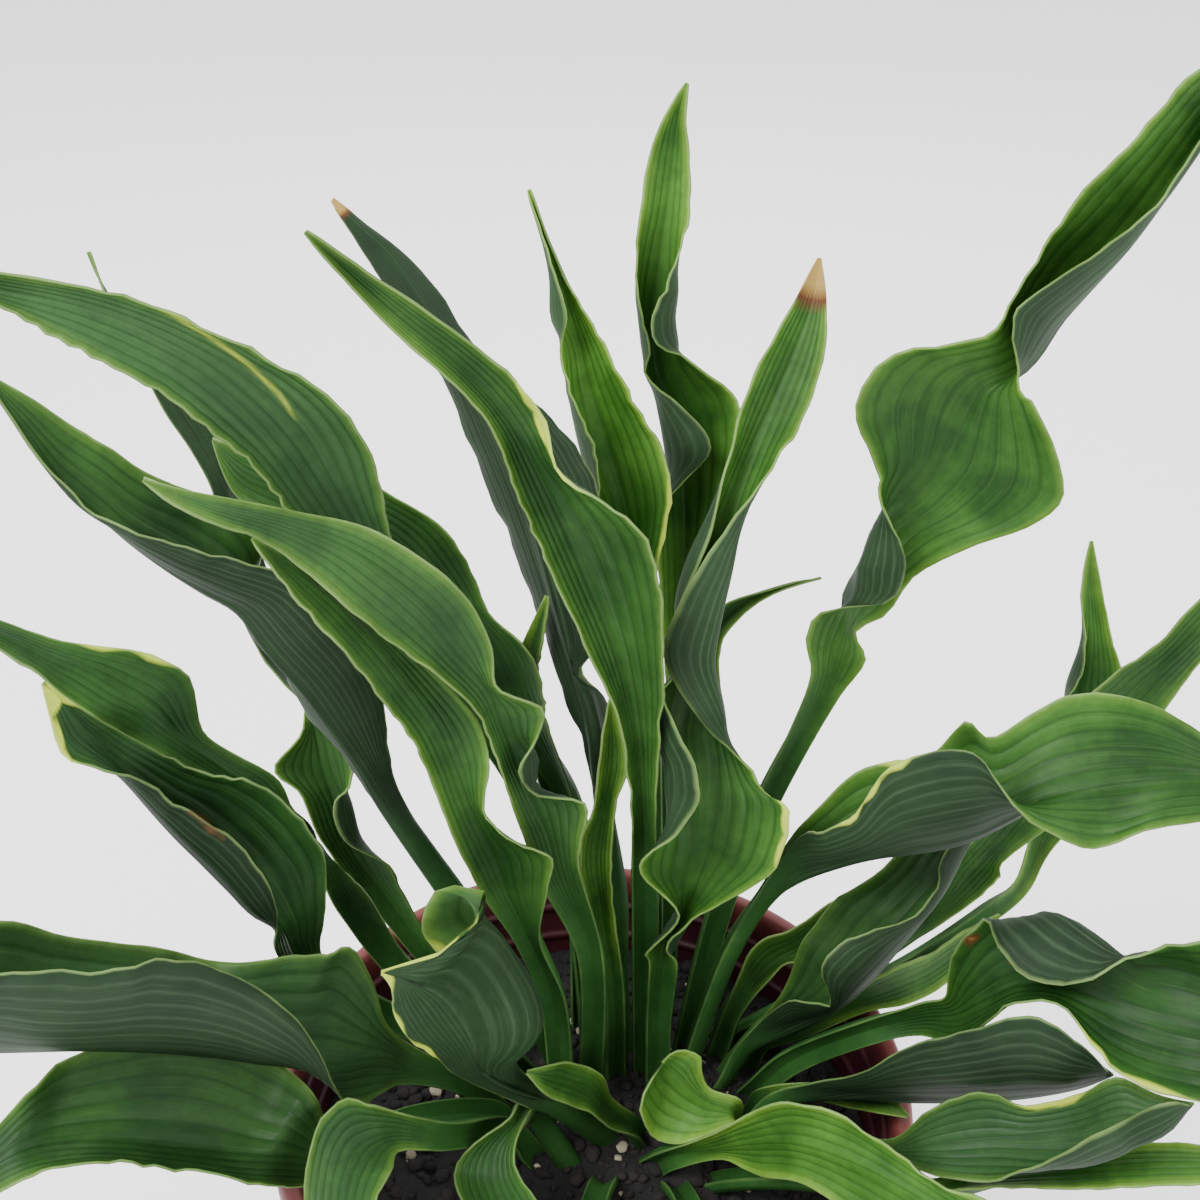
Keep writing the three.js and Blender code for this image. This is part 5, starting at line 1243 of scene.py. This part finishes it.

# %% [markdown]
# The underside is duller, with finer pale ribs than the grooves above, and painted
# darker for the shade that falls beneath a leaf. The stalk has its own green. Over both
# come soft blotches of painted shade and fine dark specks, which keep a leaf from
# looking like moulded plastic.

# %% Underside and stalk
# Painted shade: the underside greens are set dark for the shade beneath a leaf, over their own duller tone.
dull = blend(light, *DULL_UNDERSIDE)
bright = blend(light, *BRIGHT_UNDERSIDE)
lower = blend((cloud * 2.4 - 0.7).kept(), dull, bright)
lower = blend(pale_fibre * 0.2 + ribs * 0.14, lower, PALE_RIB)
stalk = blend((cloud * 2 - 0.5).kept(), *STALK_GREENS)
body = blend(under, upper, lower)
body = blend((1 - along * 8).kept(), body, stalk)
# Painted shade: soft dark blotches in noise clouds.
body = blend((shade_blotch * 3 - 1.3).kept() * 0.4, body, PAINTED_SHADE_BLOTCH)
body = blend((speck - 0.5) * 0.5 + 0.08, body, DARK_SPECK)
print("nodes with the underside:", len(leaf_finish.tree.nodes))

# %% Margins, yellow patches and dry tips
patch = ((yellow * 5 - margin) * 0.7).kept()
body = blend(patch.most(streaked * (0.62 - under)), body, YELLOW_GREEN)
line = (0.36 + on_blade * 0.22 - margin + (cloud - 0.5) * 1.6).kept()
body = blend(line * (0.35 + on_blade * 0.27), body, CREAM)
straw = blend((dry * 4 - 1.6 + (cloud - 0.5) * 2).kept(), *BROWN_AND_STRAW)
body = blend((dry * 5 - 0.9 + (cloud - 0.5)).kept(), body, straw)
print("nodes with the margins:", len(leaf_finish.tree.nodes))

# %% [markdown]
# A hosta leaf has a satin gloss, duller below. Grooves, fibres and pores too fine for
# the mesh are pressed in as a bump of half a millimetre at most.

# %% Gloss and relief of the leaf
LEAF_RELIEF = 0.0005
relief = wave ** 4 * -0.5 * on_blade + speck * 0.12 + fibre * 0.25
leaf_finish.set(
    Base_Color=body,
    Roughness=0.46 + under * 0.14 + (cloud - 0.5) * 0.15,
    Normal=leaf_finish.bump(relief, 0.4, LEAF_RELIEF),
)
print("leaf finish:", len(leaf_finish.tree.nodes), "nodes")

# %% [markdown]
# Every leaf is made in the same way from its points and takes the place of its plain
# solid, and all leaves share one finish, so that they can be recoloured together.

# %% Make the leaves
for leaf_name, leaf_shape in LEAVES.items():
    leaf_piece = make_leaf(f"blade_{leaf_name}", leaf_shape, leaf_finish.material)
    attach(leaf_piece, "root")
    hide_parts(f"leaf_{leaf_name}")
print("leaves made:", len(LEAVES))

# %% [markdown]
# The pot is thin moulded plastic: one profile turned round the axis, with a rolled
# lip and two low rings inside. A Spin or Screw would turn it too, but arrays let the
# profile's ends be capped at once, so the shell is closed before holes are cut.

# %% Sizes of the pot
POT_HEIGHT = 0.2
RIM_RADIUS = 0.11
FOOT_RADIUS = 0.084
WALL = 0.0024
LIP_OVERHANG = 0.004
FLOOR = 0.003


def inner_radius(z):
    """Radius of the inner wall, growing evenly from floor to rim."""
    low = FOOT_RADIUS - WALL
    top = RIM_RADIUS - LIP_OVERHANG - WALL
    return low + (top - low) * z / POT_HEIGHT


print("inner radius at the floor and at the rim:", inner_radius(0), round(inner_radius(POT_HEIGHT), 4))


# %% A turned wall
def turned(profile, sides):
    """A profile of (radius, height) carried round the axis, its two ends capped."""
    profile = np.asarray(profile)
    turn = np.linspace(0, 2 * np.pi, sides, endpoint=False)
    ring = np.stack([np.cos(turn), np.sin(turn)], axis=-1)
    points = np.concatenate([
        profile[:, None, :1] * ring[None],
        np.broadcast_to(profile[:, None, 1:], (len(profile), sides, 1)),
    ], axis=-1).reshape(-1, 3)
    k = np.arange(len(profile) - 1)[:, None] * sides
    i = np.arange(sides)[None]
    j = (i + 1) % sides
    bands = np.stack([k + i, k + j, k + j + sides, k + i + sides], axis=-1).reshape(-1, 4)
    ends = [np.arange(sides)[::-1].tolist(), (len(points) - sides + np.arange(sides)).tolist()]
    return points, bands.tolist() + ends


def plain_mesh(name, points, faces):
    """A mesh object from points and faces of any number of corners."""
    mesh = bpy.data.meshes.new(name)
    mesh.from_pydata(points.tolist(), [], faces)
    piece = bpy.data.objects.new(name, mesh)
    bpy.context.collection.objects.link(piece)
    return piece


print("faces of a turned rod with 6 sides:", len(turned([(1, 0), (1, 1)], 6)[1]))

# %% Rounded corners
CORNER_REACH = 0.0012
CORNER_SHARE = 0.4
CORNER_STEPS = 4


def rounded(corners):
    """Corners of a profile, all but its two ends, cut by short quadratic curves that
    start and end a corner's reach away, or less on a short side."""
    corners = np.asarray(corners, float)
    before = np.roll(corners, 1, axis=0)
    after = np.roll(corners, -1, axis=0)
    reach_in = np.minimum(CORNER_REACH, CORNER_SHARE * np.linalg.norm(before - corners, axis=1))[:, None]
    reach_out = np.minimum(CORNER_REACH, CORNER_SHARE * np.linalg.norm(after - corners, axis=1))[:, None]
    start = corners + unit(before - corners) * reach_in
    end = corners + unit(after - corners) * reach_out
    t = np.linspace(0, 1, CORNER_STEPS + 1)[None, :, None]
    curve = (1 - t)**2 * start[:, None] + 2 * t * (1 - t) * corners[:, None] + t**2 * end[:, None]
    return np.concatenate([corners[:1], curve[1:-1].reshape(-1, 2), corners[-1:]])


print("points of one rounded corner between two ends:", len(rounded([(0, 0), (1, 0), (1, 1)])))

# %% Profile of the pot
RIM_BAND = 0.015
FOOT_BEVEL = 0.002
LIP_ROUND = 0.003
BAND_BEVEL = 0.001
LIP_SHOULDER = (0.0012, 0.0008)
MOUTH_EDGE = (0.0008, 0.0006)
RING_DEPTHS = (0.015, 0.029)
RING_HEIGHT = 0.0035
RING_REACH = 0.0014
AXIS_GAP = 0.0004


def pot_profile():
    """Up the outside, over the lip, down the inside past two rings to the floor."""
    band = POT_HEIGHT - RIM_BAND
    mouth = POT_HEIGHT - LIP_ROUND
    outside = [
        (AXIS_GAP, 0), (FOOT_RADIUS - FOOT_BEVEL, 0), (FOOT_RADIUS, FOOT_BEVEL),
        (inner_radius(band) + WALL, band), (RIM_RADIUS - BAND_BEVEL, band + BAND_BEVEL),
        (RIM_RADIUS, band + LIP_ROUND), (RIM_RADIUS, mouth),
        (RIM_RADIUS - LIP_SHOULDER[0], POT_HEIGHT - LIP_SHOULDER[1]), (RIM_RADIUS - LIP_ROUND, POT_HEIGHT),
    ]
    inside = [
        (inner_radius(POT_HEIGHT) + MOUTH_EDGE[0], POT_HEIGHT - MOUTH_EDGE[1]),
        (inner_radius(mouth), mouth),
    ]
    for depth in RING_DEPTHS:
        for rise, reach in ((0.5, 0), (0.25, RING_REACH), (-0.25, RING_REACH), (-0.5, 0)):
            at = POT_HEIGHT - depth + rise * RING_HEIGHT
            inside.append((inner_radius(at) - reach, at))
    inside += [(inner_radius(FLOOR), FLOOR), (AXIS_GAP, FLOOR)]
    return rounded(outside + inside)


print("pot profile points:", len(pot_profile()))

# %% [markdown]
# Water drains through eight round holes near the edge of the base. They are cut as
# a drill would cut them: closed rods stand where the holes go, and a Boolean takes
# their form out of the wall. Its result is kept as a plain mesh.

# %% Drain holes
DRAIN_COUNT = 8
DRAIN_RADIUS = 0.006
DRAIN_PLACE = 0.062
DRAIN_SIDES = 28
DRAIN_SPARE = 0.001


def drain_pins():
    """Upright closed rods, a little longer than the base is thick, evenly spaced."""
    ends = [(DRAIN_RADIUS, -DRAIN_SPARE), (DRAIN_RADIUS, FLOOR + DRAIN_SPARE)]
    corners, faces = turned(ends, DRAIN_SIDES)
    turn = np.arange(DRAIN_COUNT) * 2 * np.pi / DRAIN_COUNT
    places = DRAIN_PLACE * np.stack([np.cos(turn), np.sin(turn), 0 * turn], axis=-1)
    points = (corners[None] + places[:, None]).reshape(-1, 3)
    starts = np.arange(DRAIN_COUNT) * len(corners)
    pin_faces = [[start + c for c in face] for start in starts for face in faces]
    return plain_mesh("drain_pins", points, pin_faces)


def pierced(piece, cutter):
    """The piece with the cutter's form taken out, worked out once and kept."""
    cut = piece.modifiers.new("holes", "BOOLEAN")
    cut.operation = "DIFFERENCE"
    cut.solver = "EXACT"
    cut.object = cutter
    result = piece.evaluated_get(bpy.context.evaluated_depsgraph_get())
    whole = bpy.data.meshes.new_from_object(result)
    piece.modifiers.clear()
    piece.data = whole
    bpy.data.objects.remove(cutter)
    return piece


print("drain holes to cut:", DRAIN_COUNT)

# %% Make the pot
POT_SIDES = 160
pot = pierced(plain_mesh("nursery_pot", *turned(pot_profile(), POT_SIDES)), drain_pins())
pot.data.polygons.foreach_set("use_smooth", np.ones(len(pot.data.polygons), dtype=bool))
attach(pot, "root")
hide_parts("pot")
print("faces of the pot:", len(pot.data.polygons))

# %% [markdown]
# The pot's finish is a dark maroon wall that turns paler on the rolled lip, a painted
# light where the top of the rim catches it. A little dust lies over it in clouds, and
# fine grain breaks the gloss.

# %% Pot finish
MAROON_WALL = colour(46, 14, 21), colour(66, 24, 30)
LIT_LIP = colour(88, 36, 36), colour(116, 58, 52)
DUST = colour(96, 80, 68)
LIP_FROM = 0.188
LIP_FADE = 120
POT_RELIEF = 0.0004
pot_finish = Finish("pot_plastic", specular=0.3)
height = pot_finish.node("ShaderNodeSeparateXYZ", {}, {0: pot_finish.place()}, output="Z")
mottle = pot_finish.noise(36.0)
tone = (mottle * 2 - 0.5).kept()
wall = pot_finish.blend(tone, *MAROON_WALL)
lip = pot_finish.blend(tone, *LIT_LIP)
# Painted light: the rolled lip is paler where the top of the rim catches the light.
plastic = pot_finish.blend(((height - LIP_FROM) * LIP_FADE).kept() * 0.85, wall, lip)
dust = (pot_finish.noise(14.0, 6.0) * 3 - 1.7).kept()
pot_finish.set(
    Base_Color=pot_finish.blend(dust * 0.1, plastic, DUST),
    Roughness=0.46 + mottle * 0.16,
    Normal=pot_finish.bump(pot_finish.noise(900.0, 2.0), 0.12, POT_RELIEF),
)
pot.data.materials.append(pot_finish.material)
print("pot finish:", len(pot_finish.tree.nodes), "nodes")

# %% [markdown]
# The potting mix is a heap of crumbs. Its top is a round sheet with ripples in its
# height, mounded where the crown sits. The ripples are sums of sine waves and not
# noise in a material, because they have to be there in the mesh.

# %% Ripples
RIPPLE_WAVES = 5


def ripple(x, y, scale, layers, seed):
    """Sums of sine waves in random directions, each layer finer and lower."""
    pick = np.random.default_rng(seed)
    total = np.zeros_like(x)
    for layer in range(layers):
        turn = pick.uniform(0, 2 * np.pi, RIPPLE_WAVES)
        shift = pick.uniform(0, 2 * np.pi, RIPPLE_WAVES)
        pace = scale * 1.9**layer
        waves = np.sin((x[..., None] * np.cos(turn) + y[..., None] * np.sin(turn)) * pace + shift)
        total += waves.mean(axis=-1) / 1.6**layer
    return total


print("one ripple's height:", ripple(np.zeros(1), np.zeros(1), 300, 4, 5).round(3))

# %% Height of the soil
SOIL_TOP = 0.162
WALL_GAP = 0.0004
SOIL_RADIUS = inner_radius(SOIL_TOP) - WALL_GAP
SOIL_RISE = 0.0012
SOIL_RIPPLE = 0.0014
CROWN_CENTRE = (0.016, 0.023)
CROWN_RADIUS = 0.058
CROWN_RISE = 0.007


def soil_height(x, y):
    """The level bed, the low mound of the crown, and ripples of crumbs."""
    off = np.hypot(x - CROWN_CENTRE[0], y - CROWN_CENTRE[1]) / CROWN_RADIUS
    mound = CROWN_RISE * np.clip(1 - off**2, 0, 1)**0.6
    return SOIL_TOP + SOIL_RISE + mound + SOIL_RIPPLE * ripple(x, y, scale=300, layers=4, seed=5)


print("soil height at the crown:", soil_height(*np.array([CROWN_CENTRE]).T).round(4))

# %% The soil's top
SOIL_GRID = 130
SOIL_SKIN = 0.001


def soil_sheet():
    """A closed disc. A square grid (u, v) becomes round by x = u * sqrt(1 - v*v / 2)
    and y = v * sqrt(1 - u*u / 2), which leaves no pole in the middle."""
    side = np.linspace(-1, 1, SOIL_GRID)
    u, v = np.meshgrid(side, side, indexing="ij")
    x = SOIL_RADIUS * u * np.sqrt(1 - v**2 / 2)
    y = SOIL_RADIUS * v * np.sqrt(1 - u**2 / 2)
    top = np.stack([x, y, soil_height(x, y)], axis=-1)
    bottom = np.stack([x, y, np.full_like(x, SOIL_TOP - SOIL_SKIN)], axis=-1)
    points = np.concatenate([top, bottom], axis=1).reshape(-1, 3)
    return mesh_piece("soil_top", points, closed_faces(SOIL_GRID, SOIL_GRID)[:, ::-1])


print("points across the soil:", SOIL_GRID)

# %% [markdown]
# Hundreds of small lumps lie on the sheet: dark crumbs, flat flakes of bark, and a
# few pale grains of perlite. Each is one small globe with its corners pushed in or
# out, and all lumps of a kind are one mesh, which is quick to make and to draw.

# %% A small globe
def globe():
    """Corners and triangles of a small closed globe of radius one."""
    shape = bmesh.new()
    bmesh.ops.create_icosphere(shape, subdivisions=2, radius=1)
    corners = np.array([corner.co[:] for corner in shape.verts])
    triangles = np.array([[corner.index for corner in face.verts] for face in shape.faces])
    shape.free()
    return corners, triangles


print("triangles of a lump:", len(globe()[1]))

# %% Lumps
LUMP_PLACES = (0.002, 0.93)
LUMP_STRETCH = (0.6, 1.2)
LUMP_DENTS = 0.13
LUMP_LIFT = 0.3


def lumps(name, count, small, large, flat, seed):
    """Small lumps on the soil: one globe for each, its corners pushed in or out a
    little, stretched, and turned about the upright. Most are near the small size."""
    pick = np.random.default_rng(seed)
    ball, triangles = globe()
    away = SOIL_RADIUS * np.sqrt(pick.uniform(*LUMP_PLACES, count))
    turn = pick.uniform(0, 2 * np.pi, count)
    x = away * np.cos(turn)
    y = away * np.sin(turn)
    size = small + (large - small) * pick.uniform(0, 1, count)**2.5
    stretch = pick.uniform(*LUMP_STRETCH, (count, 3)) * [1, 1, flat]
    dents = 1 + pick.normal(0, LUMP_DENTS, (count, len(ball), 1))
    shape = ball[None] * dents * stretch[:, None] * size[:, None, None]
    spin = pick.uniform(0, 2 * np.pi, count)[:, None]
    east = shape[..., 0] * np.cos(spin) - shape[..., 1] * np.sin(spin) + x[:, None]
    north = shape[..., 0] * np.sin(spin) + shape[..., 1] * np.cos(spin) + y[:, None]
    level = shape[..., 2] + (soil_height(x, y) + size * flat * LUMP_LIFT)[:, None]
    points = np.stack([east, north, level], axis=-1).reshape(-1, 3)
    faces = (triangles[None] + (np.arange(count) * len(ball))[:, None, None]).reshape(-1, 3)
    tone = np.repeat(pick.uniform(0, 1, count), len(ball))
    return mesh_piece(name, points, faces, {"tone": tone})


print("area for lumps in square centimetres:", round(math.pi * (SOIL_RADIUS * 100)**2))

# %% [markdown]
# Crumbs are dark and rough, and each has a tone of its own. Perlite has the same
# build in pale colours, so one function dresses both.


# %% Soil finishes
CRUMB_RELIEF = 0.001


def dress_crumbs(finish, dark, pale, fleck):
    """Crumb colour by each lump's own tone, mottled, rough."""
    tone = finish.value("tone")
    cloud = finish.noise(260.0, 5.0)
    body = finish.blend((tone * 0.7 + cloud * 0.6 - 0.2).kept(), dark, pale)
    body = finish.blend((finish.noise(700.0, 3.0) * 4 - 2.4).kept() * 0.5, body, fleck)
    finish.set(Base_Color=body, Roughness=0.82 + cloud * 0.15, Normal=finish.bump(cloud, 0.6, CRUMB_RELIEF))
    return finish


soil_finish = dress_crumbs(Finish("potting_mix"), colour(9, 7, 7), colour(26, 20, 17), colour(56, 46, 38))
perlite_finish = dress_crumbs(
    Finish("perlite"), colour(112, 102, 84), colour(168, 158, 138), colour(96, 84, 66))
print("soil finish:", len(soil_finish.tree.nodes), "nodes")

# %% Make the soil
soil_pieces = [
    (soil_sheet(), soil_finish),
    (lumps("soil_crumbs", 1500, small=0.0009, large=0.0034, flat=0.7, seed=3), soil_finish),
    (lumps("soil_bark", 130, small=0.0025, large=0.0062, flat=0.35, seed=4), soil_finish),
    (lumps("soil_perlite", 150, small=0.0007, large=0.0024, flat=0.8, seed=8), perlite_finish),
]
for soil_piece, finish in soil_pieces:
    soil_piece.data.materials.append(finish.material)
    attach(soil_piece, "root")
print("soil pieces:", len(soil_pieces))

# %% [markdown]
# Two solids stay as they are, under the crumbs: the body of the soil and the crown.
# Where they show between the lumps they have to look like potting mix too, so only
# their material is changed.

# %% Finish of the solids that stay
for node in ("soil", "crown"):
    solid = bpy.data.objects[node]
    solid.data.materials.clear()
    solid.data.materials.append(soil_finish.material)
print("solids kept: soil and crown")

# %% [markdown]
# A plain pale floor and soft studio light: a broad panel above and to the left, a
# weaker one to the right, one behind, and a bright even surround, as in a product
# picture on white.

# %% Floor
FLOOR_HALF = 6.0
floor_points = np.array([[-1, -1, 0], [1, -1, 0], [1, 1, 0], [-1, 1, 0]]) * FLOOR_HALF
floor = mesh_piece("floor", floor_points, np.array([[0, 1, 2, 3]]))
floor_finish = Finish("floor_white")
floor_finish.set(Base_Color=colour(252, 252, 252), Roughness=0.9)
floor.data.materials.append(floor_finish.material)
print("floor:", 2 * FLOOR_HALF, "m square")


# %% Lights
def panel(name, place, aim, size, power):
    """A square area light at place, facing aim."""
    lamp = bpy.data.lights.new(name, "AREA")
    lamp.size = size
    lamp.energy = power
    holder = bpy.data.objects.new(name, lamp)
    bpy.context.collection.objects.link(holder)
    holder.location = place
    east, north, up = np.array(aim) - np.array(place)
    holder.rotation_euler = (math.atan2(math.hypot(east, north), -up), 0, math.atan2(east, -north) + math.pi)


panel("key_light", place=(-1.1, -0.9, 2.1), aim=(0, 0, 0.3), size=1.0, power=76)
panel("side_light", place=(1.5, -0.5, 1.3), aim=(0, 0, 0.3), size=1.0, power=10)
panel("back_light", place=(0.2, 1.6, 1.6), aim=(0, 0, 0.35), size=1.2, power=16)
print("lights:", len(bpy.data.lights))

# %% Bright surround
SURROUND_STRENGTH = 1.9
surround = bpy.data.worlds.new("white_surround")
surround.use_nodes = True
background = surround.node_tree.nodes["Background"]
background.inputs["Color"].default_value = (1, 1, 1, 1)
background.inputs["Strength"].default_value = SURROUND_STRENGTH
bpy.context.scene.world = surround
print("surround strength:", SURROUND_STRENGTH)

# %% [markdown]
# The camera stands where the leaves were described from, and its lens shows the same
# field: the lens is to the sensor as the picture's reach is to its side.

# %% Camera
SENSOR = 36
camera_data = bpy.data.cameras.new("camera")
camera_data.sensor_width = SENSOR
camera_data.lens = SENSOR * PICTURE_REACH / PICTURE_SIDE
camera = bpy.data.objects.new("camera", camera_data)
bpy.context.collection.objects.link(camera)
camera.location = EYE
camera.rotation_euler = (math.pi / 2 - EYE_TILT, 0, 0)
bpy.context.scene.camera = camera
print("lens:", camera_data.lens, "mm")

# %% [markdown]
